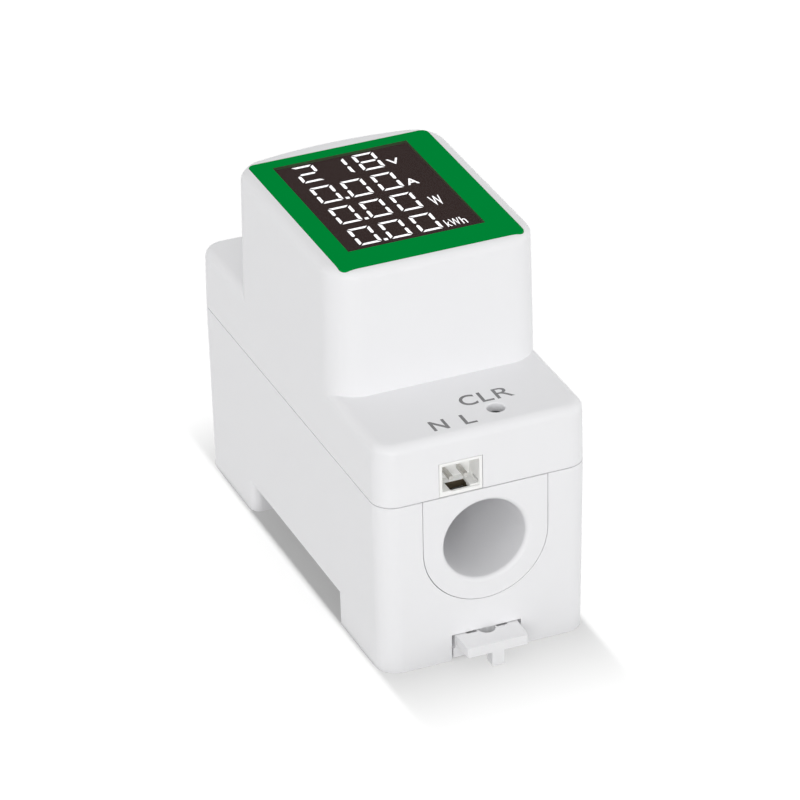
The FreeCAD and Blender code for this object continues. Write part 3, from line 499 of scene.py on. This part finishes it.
def piece_from(build, name, material):
    mesh = bpy.data.meshes.new(name)
    build.to_mesh(mesh)
    build.free()
    mesh.materials.append(material)
    return placed(name, mesh)


def fitted_letters(name, letters, height, thickness, material, stroke_growth):
    whole = bmesh.new()
    for letter, x0, x1, y0, y1 in letters:
        mesh = letter_mesh(name, letter, stroke_growth.get(letter, 0))
        low, high = (Vector(end(vertex.co[axis] for vertex in mesh.vertices) for axis in range(3))
                     for end in (min, max))
        part = bmesh.new()
        part.from_mesh(mesh)
        for vertex in part.verts:
            x = x0 + (x1 - x0) * (vertex.co.x - low.x) / (high.x - low.x)
            y = y0 + (y1 - y0) * (vertex.co.y - low.y) / (high.y - low.y)
            vertex.co = (x * mm, (y + row_shift) * mm, height)
        bmesh.ops.remove_doubles(part, verts=part.verts, dist=letter_weld)
        sides = bmesh.ops.extrude_face_region(part, geom=part.faces[:])
        raised = [item for item in sides["geom"] if isinstance(item, bmesh.types.BMVert)]
        bmesh.ops.translate(part, verts=raised, vec=(0, 0, thickness))
        bmesh.ops.recalc_face_normals(part, faces=part.faces)
        part.to_mesh(mesh)
        part.free()
        whole.from_mesh(mesh)
        bpy.data.meshes.remove(mesh)
    return piece_from(whole, name, material)


marking_ink = moulded_plastic("marking_ink", print_grey, 0.6, 0.05 * mm, 0.001 * mm, 0.12)
shoulder_marks = fitted_letters("shoulder_marks", shoulder_letters, shoulder_top, ink_height,
                                marking_ink, letter_growth)
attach(shoulder_marks, "housing")

# Supply socket
# Shrouded header in a warmer, unpigmented nylon with two square tinned pins, soldered to the
# main board behind the near wall.
socket_white = moulded_plastic("socket_white", (0.965, 0.965, 0.95, 1), 0.42, 0.09 * mm, 0.002 * mm)
finish_node("voltage_header", socket_white)
tin_tone = (0.62, 0.61, 0.58, 1)
tinned_metal = drawn_metal("tinned_metal", tin_tone, 0.32, 0.25 * mm)
for tinned_piece in ("voltage_pins", "lcd_pins", "riser_pins", "clear_switch_legs"):
    finish_node(tinned_piece, tinned_metal)

# Front label
# Screen-printed green film stuck in a shallow recess of the raised front, satin, with a
# cut-out for the display window.
label_green = moulded_plastic("label_green", (0.0, 0.29, 0.047, 1), 0.42,
                              0.2 * mm, 0.002 * mm, 0.05)
dress(label_green, {"Specular IOR Level": 0})
finish_node("front_label", label_green)

# Display window and glasses
# Thin smoked film over a dark liquid crystal cell of two glasses. The film lets the lit parts
# of the cell through and looks dark brown elsewhere.
film_tone = (0.058, 0.034, 0.031, 1)
film_cover = 0.65
film_sheen = 0.02
cell_tone = (0.010, 0.008, 0.007, 1)
window_film = moulded_plastic("window_film", film_tone, 0.10, 0.5 * mm, 0.0002 * mm, 0.06, 0.03)
window_tree = window_film.node_tree
window_back = window_tree.nodes.new("ShaderNodeNewGeometry").outputs["Backfacing"]
dress(window_film, {"Alpha": ranged(window_tree, window_back, film_cover, 0),
                    "Specular IOR Level": film_sheen})
finish_node("display_window", window_film)
display_black = moulded_plastic("display_glass", cell_tone, 0.25, 0.5 * mm, 0.0002 * mm, 0.1, 0.05)
dress(display_black, {"Specular IOR Level": film_sheen})
for glass_piece in ("lcd_front_glass", "lcd_rear_glass"):
    finish_node(glass_piece, display_black)

# Lit digits and units
# Seven-segment digits in four rows of three, with mitred segments, their points and the four
# unit marks. They are areas of the liquid crystal cell that let the backlight through.
digit_width = 3.76
digit_height = 5.78
digit_lefts = (-9.34, -4.08, 1.16)
digit_rows = ("218", "000", "000", "000")
first_row_centre = 15.11
row_pitch = 7.79
segment_thickness = 0.52
corner_gap = 0.34
waist_gap = 0.42
point_size = 0.60
point_x = -4.86
film_shift = Vector((0.02, -0.76, 0))
segment_letters = {"0": "abcdef", "1": "bc", "2": "abged", "8": "abcdefg"}
unit_letters = (("V", 5.78, 7.78, 12.40, 14.35), ("A", 5.62, 7.60, 4.60, 6.72),
                ("W", 6.62, 8.54, -3.65, -0.45), ("k", 5.70, 6.46, -11.15, -8.85),
                ("W", 6.56, 8.12, -11.15, -8.85), ("h", 8.34, 9.16, -11.15, -8.85))
unit_growth = {"V": 0.008, "A": 0.012}
lit_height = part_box("display_window")[0].z + 0.02 * mm
lit_thickness = 0.03 * mm
lit_strength = 2.9
cloud_scale = 180


def segment_outline(letter):
    half_width = digit_width / 2
    half_height = digit_height / 2
    thick = segment_thickness
    mitre = corner_gap / math.sqrt(2)
    waist = waist_gap / math.sqrt(2)
    if letter in "ad":
        side = 1 if letter == "a" else -1
        points = [(mitre - half_width, half_height), (half_width - mitre, half_height),
                  (half_width - thick - mitre, half_height - thick),
                  (thick + mitre - half_width, half_height - thick)]
        return [(x, y * side) for x, y in points]
    if letter == "g":
        end = half_width - thick / 2 - waist
        return [(-end, 0), (thick / 2 - end, thick / 2), (end - thick / 2, thick / 2),
                (end, 0), (end - thick / 2, -thick / 2), (thick / 2 - end, -thick / 2)]
    across = 1 if letter in "bc" else -1
    upper = 1 if letter in "bf" else -1
    points = [(half_width, half_height - mitre), (half_width - thick, half_height - thick - mitre),
              (half_width - thick, thick / 2 + waist), (half_width - thick / 2, waist),
              (half_width, thick / 2 + waist)]
    return [(x * across, y * upper) for x, y in points]


def lit_display(material):
    build = bmesh.new()

    def plate(points):
        low = [build.verts.new((x * mm, (y + row_shift) * mm, lit_height)) for x, y in points]
        high = [build.verts.new(corner.co + Vector((0, 0, lit_thickness))) for corner in low]
        build.faces.new(low)
        build.faces.new(high)
        for index in range(len(points)):
            after = (index + 1) % len(points)
            build.faces.new((low[index], low[after], high[after], high[index]))

    for row, digits in enumerate(digit_rows):
        centre_y = first_row_centre - row * row_pitch
        for left, digit in zip(digit_lefts, digits):
            centre_x = left + digit_width / 2
            for letter in segment_letters[digit]:
                plate([(centre_x + x, centre_y + y) for x, y in segment_outline(letter)])
        if row > 0:
            low = centre_y - digit_height / 2
            half = point_size / 2
            plate([(point_x - half, low), (point_x + half, low),
                   (point_x + half, low + point_size), (point_x - half, low + point_size)])
    bmesh.ops.recalc_face_normals(build, faces=build.faces)
    bmesh.ops.translate(build, verts=build.verts, vec=film_shift * mm)
    return piece_from(build, "lit_digits", material)


def lit_crystal():
    material, tree = fresh_material("lit_crystal")
    cloud = noise_field(tree, cloud_scale, 2)
    dress(material, {"Base Color": (0.9, 0.9, 0.92, 1), "Emission Strength": lit_strength,
                     "Emission Color": blended(tree, cloud, (0.95, 0.96, 1, 1), (1, 1, 1, 1))})
    return material


lit_white = lit_crystal()
digits_piece = lit_display(lit_white)
units_piece = fitted_letters("lit_units", unit_letters, lit_height, lit_thickness,
                             lit_white, unit_growth)
units_piece.data.transform(Matrix.Translation(film_shift * mm))
for lit_piece in (digits_piece, units_piece):
    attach(lit_piece, "housing")

# Light guide, tray and lamps
# A clear acrylic slab with a field of fine white dots on its back spreads the light of two
# side lamps. It lies in a glossy white tray on the display board, under the two glasses.
dot_pitch = 0.9 * mm
dot_share = 0.3
acrylic_index = 1.49
phosphor_depth = 0.05 * mm


def dotted_acrylic():
    material, tree = fresh_material("light_guide")
    dots = tree.nodes.new("ShaderNodeTexVoronoi")
    dots.voronoi_dimensions = "2D"
    place = tree.nodes.new("ShaderNodeTexCoord").outputs["Object"]
    feed(tree, dots, {"Vector": place, "Scale": 1 / dot_pitch, "Randomness": 0})
    dot = reckon(tree, "LESS_THAN", dots.outputs["Distance"], dot_share)
    tone = blended(tree, dot, (0.90, 0.93, 0.96, 1), (0.98, 0.98, 0.98, 1))
    dress(material, {"Transmission Weight": 1, "IOR": acrylic_index, "Base Color": tone,
                     "Roughness": ranged(tree, dot, 0.04, 0.7)})
    return material


def masked_tone(material, mask, tone):
    tree = material.node_tree
    below = tree.nodes["Principled BSDF"].inputs["Base Color"].links[0].from_socket
    dress(material, {"Base Color": blended(tree, mask, below, tone)})


def object_axes(tree):
    return axes_of(tree, tree.nodes.new("ShaderNodeTexCoord").outputs["Object"])


finish_node("light_guide", dotted_acrylic())
tray_white = moulded_plastic("tray_white", (0.86, 0.86, 0.86, 1), 0.28, 0.1 * mm, 0.001 * mm)
finish_node("backlight_tray", tray_white)
led_package = moulded_plastic("led_package", (0.85, 0.84, 0.80, 1), 0.35, 0.08 * mm, 0.001 * mm)
led_tree = led_package.node_tree
phosphor_face = reckon(led_tree, "LESS_THAN", object_axes(led_tree)["Y"],
                       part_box("backlight_leds")[0].y + phosphor_depth)
masked_tone(led_package, phosphor_face, (0.85, 0.62, 0.08, 1))
finish_node("backlight_leds", led_package)

# Circuit boards
# Glass-fibre laminate under a dark solder mask, with runs of etched copper showing through it
# as low ridges and small tinned vias. The sawn edges show the brown laminate.
mask_tone = (0.012, 0.030, 0.016, 1)
trace_tone = (0.022, 0.062, 0.030, 1)
laminate_tone = (0.085, 0.068, 0.042, 1)
trace_pitch = 0.62 * mm
trace_field = 4.1 * mm
trace_share = 0.42
field_share = 0.72
via_pitch = 2.05 * mm
via_reach = 0.16
via_rarity = 0.82
turn_seed, field_seed, via_seed = 3, 8, 5
edge_slope = 0.7
copper_height = 0.02 * mm


def length_of(tree, x, y):
    squares = (reckon(tree, "MULTIPLY", side, side) for side in (x, y))
    return reckon(tree, "SQRT", reckon(tree, "ADD", *squares))


def etched_copper_group():
    group, given, made = node_group(
        "etched copper", "ShaderNodeTree",
        dict.fromkeys(("Trace Pitch", "Field Size", "Via Pitch"), "Float"),
        dict.fromkeys(("Trace", "Via", "Edge"), "Float"))
    place = group.nodes.new("ShaderNodeTexCoord").outputs
    parts = axes_of(group, place["Object"])

    def cells(axis, size, part):
        return reckon(group, part, reckon(group, "DIVIDE", parts[axis], given[size]))

    def cell_noise(size, seed):
        chance = group.nodes.new("ShaderNodeTexWhiteNoise")
        chance.noise_dimensions = "3D"
        cell = point_at(group, cells("X", size, "FLOOR"), cells("Y", size, "FLOOR"), seed)
        return feed(group, chance, {"Vector": cell}).outputs["Value"]

    def stripe(axis):
        return reckon(group, "LESS_THAN", cells(axis, "Trace Pitch", "FRACT"), trace_share)

    turned = reckon(group, "GREATER_THAN", cell_noise("Field Size", turn_seed), 0.5)
    used = reckon(group, "LESS_THAN", cell_noise("Field Size", field_seed), field_share)
    along = reckon(group, "MULTIPLY", stripe("X"), turned)
    across = reckon(group, "MULTIPLY", stripe("Y"), reckon(group, "SUBTRACT", 1, turned))
    run = reckon(group, "MULTIPLY", reckon(group, "ADD", along, across), used)
    off = (reckon(group, "SUBTRACT", cells(axis, "Via Pitch", "FRACT"), 0.5) for axis in "XY")
    round_spot = reckon(group, "LESS_THAN", length_of(group, *off), via_reach)
    rare = reckon(group, "GREATER_THAN", cell_noise("Via Pitch", via_seed), via_rarity)
    via = reckon(group, "MULTIPLY", round_spot, rare)
    upright = reckon(group, "ABSOLUTE", axes_of(group, place["Normal"])["Z"])
    edge = reckon(group, "LESS_THAN", upright, edge_slope)
    flat = reckon(group, "SUBTRACT", 1, edge)
    feed(group, made, {"Trace": reckon(group, "MULTIPLY", run, flat),
                       "Via": reckon(group, "MULTIPLY", via, flat), "Edge": edge})
    return group


def circuit_board():
    material = moulded_plastic("board_green", mask_tone, 0.30, 0.35 * mm, 0.001 * mm, 0.1)
    tree = material.node_tree
    copper = effect(tree, etched_copper_group(), {
        "Trace Pitch": trace_pitch, "Field Size": trace_field, "Via Pitch": via_pitch})
    for mask, tone in (("Trace", trace_tone), ("Via", tin_tone), ("Edge", laminate_tone)):
        masked_tone(material, copper[mask], tone)
    dress(material, {"Metallic": copper["Via"]})
    feed(tree, tree.nodes["Bump"], {"Distance": copper_height, "Height": copper["Trace"]})
    return material


board_green = circuit_board()
for board_piece in ("main_board", "display_board"):
    finish_node(board_piece, board_green)

# Board connector
# Two black nylon strips, one on each board, joined by six square tinned pins that stand
# upright between the main board and the display board.
connector_black = moulded_plastic("connector_black", (0.025, 0.025, 0.025, 1), 0.42,
                                  0.12 * mm, 0.003 * mm)
finish_node("riser_header", connector_black)

# Chips and bridge rectifier
# Black moulded epoxy bodies with tinned gull-wing legs along both long sides. Their tops are
# bare, with only the matt skin of the mould.
no_edge = 1.0
chip_margin = 0.002 * mm
chip_depths = {"metering_chip": 5.3 * mm, "display_controller": 5.3 * mm,
               "supply_chip": 3.9 * mm, "bridge_rectifier": 3.9 * mm}


def beyond_body_group():
    group, given, made = node_group(
        "beyond the body", "ShaderNodeTree",
        {"Centre": "Vector", "Half Size": "Vector", "Round": "Float"}, {"Lead": "Float"})
    place = group.nodes.new("ShaderNodeTexCoord").outputs["Object"]
    for operation, size in (("SUBTRACT", "Centre"), ("DIVIDE", "Half Size")):
        place = vector_step(group, operation, {0: place, 1: given[size]})
    parts = axes_of(group, place)
    x, y, z = (reckon(group, "ABSOLUTE", parts[axis]) for axis in "XYZ")
    square = reckon(group, "MAXIMUM", reckon(group, "MAXIMUM", x, y), z)
    kept = reckon(group, "MULTIPLY", square, reckon(group, "SUBTRACT", 1, given["Round"]))
    reach = reckon(group, "MULTIPLY_ADD", length_of(group, x, z), given["Round"], kept)
    feed(group, made, {"Lead": reckon(group, "GREATER_THAN", reach, 1)})
    return group


beyond_body = beyond_body_group()


def leaded_part(material, centre, half, round_body=0.0):
    lead = effect(material.node_tree, beyond_body,
                  {"Centre": centre, "Half Size": half, "Round": round_body})["Lead"]
    masked_tone(material, lead, tin_tone)
    dress(material, {"Metallic": lead})
    return material


def flat_chip(name, body_depth):
    low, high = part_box(name)
    black = moulded_plastic("chip_black_" + name, (0.022, 0.022, 0.024, 1), 0.55,
                            0.07 * mm, 0.003 * mm)
    half = Vector((no_edge, body_depth / 2 + chip_margin, no_edge))
    finish_node(name, leaded_part(black, (low + high) / 2, half))


for chip_name, chip_depth in chip_depths.items():
    flat_chip(chip_name, chip_depth)

# Crystal
# A drawn and plated steel can, resistance-welded round its foot, on two tinned wires. It
# stands beside the metering chip.
finish_node("crystal", drawn_metal("crystal_can", (0.70, 0.70, 0.69, 1), 0.22, 0.4 * mm))

# Mains supply parts
# A cement-coated fuse resistor with its value rings, a blue dipped varistor, a yellow moulded
# film capacitor and a can capacitor in a shrunk sleeve, each soldered to the main board.
board_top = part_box("main_board")[1].z
ring_brown = (0.09, 0.03, 0.015, 1)
ring_black = (0.008, 0.008, 0.008, 1)
ring_gold = (0.42, 0.26, 0.06, 1)
ring_half = 0.28 * mm
end_margin = 0.01 * mm
dip_margin = 0.03 * mm
fuse_low, fuse_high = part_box("fuse_resistor")
fuse_middle = (fuse_low + fuse_high) / 2
fuse_half_length = 3.25 * mm
resistor_coat = moulded_plastic("resistor_coat", (0.22, 0.40, 0.34, 1), 0.62,
                                0.25 * mm, 0.02 * mm, 0.15)
fuse_tree = resistor_coat.node_tree
fuse_x = object_axes(fuse_tree)["X"]
for ring_place, ring_tone in ((-1.9, ring_brown), (-0.9, ring_black),
                              (0.1, ring_black), (1.8, ring_gold)):
    ring_off = reckon(fuse_tree, "SUBTRACT", fuse_x, fuse_middle.x + ring_place * mm)
    on_ring = reckon(fuse_tree, "LESS_THAN", reckon(fuse_tree, "ABSOLUTE", ring_off), ring_half)
    masked_tone(resistor_coat, on_ring, ring_tone)
leaded_part(resistor_coat, fuse_middle, Vector((fuse_half_length + end_margin, no_edge, no_edge)))
finish_node("fuse_resistor", resistor_coat)

varistor_low, varistor_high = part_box("varistor")
varistor_radius = (varistor_high.x - varistor_low.x) / 2
varistor_centre = Vector(((varistor_low.x + varistor_high.x) / 2, 0,
                          varistor_high.z - varistor_radius))
disc_half = Vector((varistor_radius + dip_margin, no_edge, varistor_radius + dip_margin))
varistor_coat = moulded_plastic("varistor_coat", (0.02, 0.09, 0.36, 1), 0.26,
                                0.9 * mm, 0.03 * mm, 0.1)
leaded_part(varistor_coat, varistor_centre, disc_half, round_body=1.0)
finish_node("varistor", varistor_coat)


def above_board(name, material):
    low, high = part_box(name)
    half = (high.z - board_top) / 2 + end_margin
    centre = Vector(((low.x + high.x) / 2, (low.y + high.y) / 2, (high.z + board_top) / 2))
    finish_node(name, leaded_part(material, centre, Vector((no_edge, no_edge, half))))


film_case = moulded_plastic("film_case", (0.78, 0.50, 0.06, 1), 0.24, 0.5 * mm, 0.004 * mm, 0.06)
above_board("film_capacitor", film_case)

can_stripe_start = 3.55 * mm
can_end_reach = 3.3 * mm
can_end_depth = 0.05 * mm
can_low, can_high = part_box("filter_capacitor")
can_middle = (can_low + can_high) / 2
can_sleeve = moulded_plastic("can_sleeve", (0.02, 0.025, 0.05, 1), 0.22, 0.6 * mm, 0.004 * mm, 0.06)
can_tree = can_sleeve.node_tree
can_axes = object_axes(can_tree)
can_x = reckon(can_tree, "SUBTRACT", can_axes["X"], can_middle.x)
can_y = reckon(can_tree, "SUBTRACT", can_axes["Y"], can_middle.y)
on_stripe = reckon(can_tree, "GREATER_THAN", can_x, can_stripe_start)
masked_tone(can_sleeve, on_stripe, (0.55, 0.56, 0.58, 1))
inside_rim = reckon(can_tree, "LESS_THAN", length_of(can_tree, can_x, can_y), can_end_reach)
at_top = reckon(can_tree, "GREATER_THAN", can_axes["Z"], can_high.z - can_end_depth)
masked_tone(can_sleeve, reckon(can_tree, "MULTIPLY", inside_rim, at_top), (0.72, 0.72, 0.73, 1))
above_board("filter_capacitor", can_sleeve)

# Choke
# A sintered ferrite drum on two tinned legs, wound in layers with enamelled copper wire.
choke_wire_radius = 0.19 * mm
choke_layers = 4
choke_layer_turns = 14
choke_steps = 18
layer_pack = 1.72
last_turn_cut = 0.01
choke_low, choke_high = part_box("choke_winding")
choke_centre = (choke_low + choke_high) / 2
copper_wire = drawn_metal("copper_wire", (0.72, 0.30, 0.12, 1), 0.28, 0.3 * mm)
dress(copper_wire, {"Coat Weight": 0.5})


def drum_path(tree, given, turn):
    angle = reckon(tree, "MULTIPLY", turn, math.tau)
    layer = reckon(tree, "FLOOR", reckon(tree, "DIVIDE", turn, given["Turns per Layer"]))
    reach = reckon(tree, "MULTIPLY_ADD", layer, given["Layer Step"], given["First Radius"])
    climb = reckon(tree, "PINGPONG", turn, given["Turns per Layer"])
    x = reckon(tree, "MULTIPLY_ADD", reckon(tree, "COSINE", angle), reach, given["Centre X"])
    y = reckon(tree, "MULTIPLY_ADD", reckon(tree, "SINE", angle), reach, given["Centre Y"])
    z = reckon(tree, "MULTIPLY_ADD", climb, given["Pitch"], given["Start Z"])
    return point_at(tree, x, y, z)


choke_reach = (choke_high.x - choke_low.x) / 2 - choke_wire_radius
choke_step = layer_pack * choke_wire_radius
choke_height = choke_high.z - choke_low.z
choke_sizes = ("Turns per Layer", "Layer Step", "First Radius", "Pitch", "Start Z",
               "Centre X", "Centre Y")
choke_tree = wound_wire_tree("drum winding", choke_sizes, drum_path)
choke_coil = made_by_tree("choke_coil", choke_tree, {
    "Turns": choke_layer_turns * choke_layers - last_turn_cut,
    "Steps per Turn": float(choke_steps), "Wire Radius": choke_wire_radius,
    "Turns per Layer": float(choke_layer_turns), "Layer Step": choke_step,
    "First Radius": choke_reach - (choke_layers - 1) * choke_step,
    "Pitch": (choke_height - 2 * choke_wire_radius) / choke_layer_turns,
    "Start Z": choke_low.z + choke_wire_radius, "Centre X": choke_centre.x,
    "Centre Y": choke_centre.y, "Metal": copper_wire})
finish_node("choke_winding", copper_wire)
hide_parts("choke_winding")
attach(choke_coil, "housing")
ferrite_tone = (0.050, 0.050, 0.055, 1)
ferrite_drum = moulded_plastic("ferrite_drum", ferrite_tone, 0.55, 0.1 * mm, 0.008 * mm, 0.12)
above_board("choke_core", ferrite_drum)

# Current transformer
# A toroidal core wound with fine enamelled wire sits in a black cup and lid round the bore. Its
# two insulated leads bend down to the main board.
ring_wire_radius = 0.24 * mm
ring_turns = 114
ring_steps = 16
squareness = 1 / 3
ring_gap = math.radians(26)
winding_low, winding_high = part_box("ct_winding")
bore_height = 21.0 * mm
winding_outer = winding_high.x
winding_inner = 9.35 * mm


def ring_path(tree, given, turn):
    angle = reckon(tree, "MULTIPLY", turn, math.tau)
    sides = []
    for wave in ("COSINE", "SINE"):
        swing = reckon(tree, wave, angle)
        size = reckon(tree, "POWER", reckon(tree, "ABSOLUTE", swing), squareness)
        sides.append(reckon(tree, "MULTIPLY", reckon(tree, "SIGN", swing), size))
    open_arc = reckon(tree, "SUBTRACT", math.tau, given["Gap Angle"])
    share = reckon(tree, "DIVIDE", turn, given["Turns"])
    first = reckon(tree, "MULTIPLY", given["Gap Angle"], 0.5)
    way = reckon(tree, "MULTIPLY_ADD", share, open_arc, first)
    reach = reckon(tree, "MULTIPLY_ADD", sides[0], given["Half Depth"], given["Ring Radius"])
    x = reckon(tree, "MULTIPLY", reckon(tree, "SINE", way), reach)
    y = reckon(tree, "MULTIPLY_ADD", sides[1], given["Half Length"], given["Centre Y"])
    z = reckon(tree, "MULTIPLY_ADD", reckon(tree, "COSINE", way), reach, given["Centre Z"])
    return point_at(tree, x, y, z)


ring_sizes = ("Gap Angle", "Ring Radius", "Half Depth", "Half Length", "Centre Y", "Centre Z")
ring_tree = wound_wire_tree("ring winding", ring_sizes, ring_path)
ring_coil = made_by_tree("ct_coil", ring_tree, {
    "Turns": float(ring_turns), "Steps per Turn": float(ring_steps),
    "Wire Radius": ring_wire_radius, "Gap Angle": ring_gap,
    "Ring Radius": (winding_outer + winding_inner) / 2,
    "Half Depth": (winding_outer - winding_inner) / 2 - ring_wire_radius,
    "Half Length": (winding_high.y - winding_low.y) / 2 - ring_wire_radius,
    "Centre Y": (winding_low.y + winding_high.y) / 2, "Centre Z": bore_height,
    "Metal": copper_wire})
finish_node("ct_winding", copper_wire)
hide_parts("ct_winding")
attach(ring_coil, "housing")
ferrite_ring = moulded_plastic("ferrite_ring", ferrite_tone, 0.5, 0.1 * mm, 0.006 * mm, 0.12)
finish_node("ct_core", ferrite_ring)
transformer_case = moulded_plastic("transformer_case", (0.030, 0.030, 0.035, 1), 0.48,
                                   0.12 * mm, 0.003 * mm)
for ring_part in ("ct_case", "ct_case_lid"):
    finish_node(ring_part, transformer_case)
lead_sleeve = moulded_plastic("lead_sleeve", (0.55, 0.03, 0.02, 1), 0.34,
                              0.3 * mm, 0.002 * mm, 0.05)
finish_node("ct_leads", lead_sleeve)

# Clear switch and button
# A push switch under the CLR hole: black base, punched steel plate, tinned legs, a thin domed
# steel disc that clicks, and the tall dark actuator that carries the press down to it.
dome_wall = 0.08 * mm
dome_rings = 8
dome_sides = 40
dome_low, dome_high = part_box("clear_switch_dome")
dome_middle = (dome_low + dome_high) / 2
dome_reach = (dome_high.x - dome_low.x) / 2
dome_rise = dome_high.z - dome_low.z


def snap_disc(material):
    build = bmesh.new()

    def ring(share, rise):
        if share == 0:
            return [build.verts.new((dome_middle.x, dome_middle.y, dome_low.z + rise))]
        angles = [math.tau * side / dome_sides for side in range(dome_sides)]
        return [build.verts.new((dome_middle.x + dome_reach * share * math.cos(angle),
                                 dome_middle.y + dome_reach * share * math.sin(angle),
                                 dome_low.z + rise)) for angle in angles]

    shares = [step / dome_rings for step in range(dome_rings + 1)]
    arch = [dome_rise * (1 - share ** 2) for share in shares]
    top = [ring(share, max(rise, dome_wall)) for share, rise in zip(shares, arch)]
    under = [ring(share, max(rise - dome_wall, 0)) for share, rise in zip(shares[::-1], arch[::-1])]
    rings = top + under
    for one, other in zip(rings, rings[1:]):
        for side in range(dome_sides):
            after = (side + 1) % dome_sides
            if len(one) == 1:
                corners = (one[0], other[after], other[side])
            elif len(other) == 1:
                corners = (one[side], one[after], other[0])
            else:
                corners = (one[side], one[after], other[after], other[side])
            build.faces.new(corners)
    bmesh.ops.recalc_face_normals(build, faces=build.faces)
    return smooth_all(piece_from(build, "clear_switch_snap_disc", material))


sheet_steel = drawn_metal("sheet_steel", (0.66, 0.66, 0.65, 1), 0.25, 0.2 * mm)
dome = snap_disc(sheet_steel)
finish_node("clear_switch_dome", sheet_steel)
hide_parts("clear_switch_dome")
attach(dome, "housing")
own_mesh(dome)
finish_node("clear_switch_plate", sheet_steel)
switch_black = moulded_plastic("switch_black", (0.020, 0.020, 0.020, 1), 0.45,
                               0.1 * mm, 0.002 * mm)
finish_node("clear_switch", switch_black)
button_dark = moulded_plastic("button_dark", (0.035, 0.035, 0.036, 1), 0.42,
                              0.1 * mm, 0.001 * mm)
finish_node("clear_button", button_dark)

# Screws
# Four long zinc-plated screws hold the two shells and the main board together from the rear,
# and two short ones hold the display board. Their shanks carry a rolled thread.
thread_height = 0.12 * mm
screw_steel_tone = (0.62, 0.62, 0.60, 1)


def threaded_steel(name, node, head_height, thread_pitch):
    material = drawn_metal(name, screw_steel_tone, 0.30, 0.3 * mm)
    tree = material.node_tree
    height = object_axes(tree)["Z"]
    wave = reckon(tree, "PINGPONG", height, thread_pitch / 2)
    ridge = reckon(tree, "DIVIDE", wave, thread_pitch / 2)
    shank = reckon(tree, "GREATER_THAN", height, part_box(node)[0].z + head_height)
    bump = added(tree, "ShaderNodeBump",
                 {"Distance": thread_height, "Height": reckon(tree, "MULTIPLY", ridge, shank)})
    dress(material, {"Normal": bump.outputs["Normal"]})
    finish_node(node, material)


threaded_steel("screw_steel_long", "housing_screws", head_height=1.6 * mm,
               thread_pitch=0.9 * mm)
threaded_steel("screw_steel_short", "display_board_screws", head_height=1.2 * mm,
               thread_pitch=0.6 * mm)

# Solder joints
# Bright fillets of solder where the wires and pins of the leaded parts come through the main
# board. Each is a small cone on the rear of the board.
fillet_radius = 0.72 * mm
fillet_top_radius = 0.34 * mm
fillet_height = 0.28 * mm
fillet_sides = 20
leaded_spacings = {"fuse_resistor": 10.0 * mm, "film_capacitor": 10.0 * mm, "varistor": 5.0 * mm,
                   "filter_capacitor": 3.5 * mm, "choke_core": 5.0 * mm, "crystal": 4.88 * mm}
riser_pin_count = 6
riser_pin_pitch = 2.54 * mm
riser_pin_half = 0.32 * mm
board_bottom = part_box("main_board")[0].z


def pin_places(name, spacing):
    low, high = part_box(name)
    centre = (low + high) / 2
    return [Vector((centre.x + side * spacing / 2, centre.y, board_bottom)) for side in (-1, 1)]


def fillet_tree():
    tree, given, made = node_group(
        "solder fillets", "GeometryNodeTree",
        {"Geometry": "Geometry", "Foot Radius": "Float", "Tip Radius": "Float",
         "Height": "Float", "Metal": "Material"}, {"Geometry": "Geometry"})
    cone = added(tree, "GeometryNodeMeshCone",
                 {"Vertices": fillet_sides, "Radius Bottom": given["Tip Radius"],
                  "Radius Top": given["Foot Radius"], "Depth": given["Height"]})
    drop = point_at(tree, 0, 0, reckon(tree, "MULTIPLY", given["Height"], -1))
    lowered = added(tree, "GeometryNodeTransform",
                    {"Geometry": cone.outputs["Mesh"], "Translation": drop})
    spread = added(tree, "GeometryNodeInstanceOnPoints",
                   {"Points": given["Geometry"], "Instance": lowered.outputs["Geometry"]})
    close_tree(tree, spread.outputs["Instances"], given["Metal"], made)
    return tree


solder_places = []
for leaded_name, pin_spacing in leaded_spacings.items():
    solder_places += pin_places(leaded_name, pin_spacing)
riser_low, riser_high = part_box("riser_pins")
for pin in range(riser_pin_count):
    pin_x = riser_low.x + riser_pin_half + pin * riser_pin_pitch
    solder_places.append(Vector((pin_x, (riser_low.y + riser_high.y) / 2, board_bottom)))
solder = drawn_metal("solder", (0.68, 0.68, 0.67, 1), 0.18, 0.4 * mm)
solder_joints = made_by_tree("solder_joints", fillet_tree(), {
    "Foot Radius": fillet_radius, "Tip Radius": fillet_top_radius, "Height": fillet_height,
    "Metal": solder}, solder_places)
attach(solder_joints, "housing")
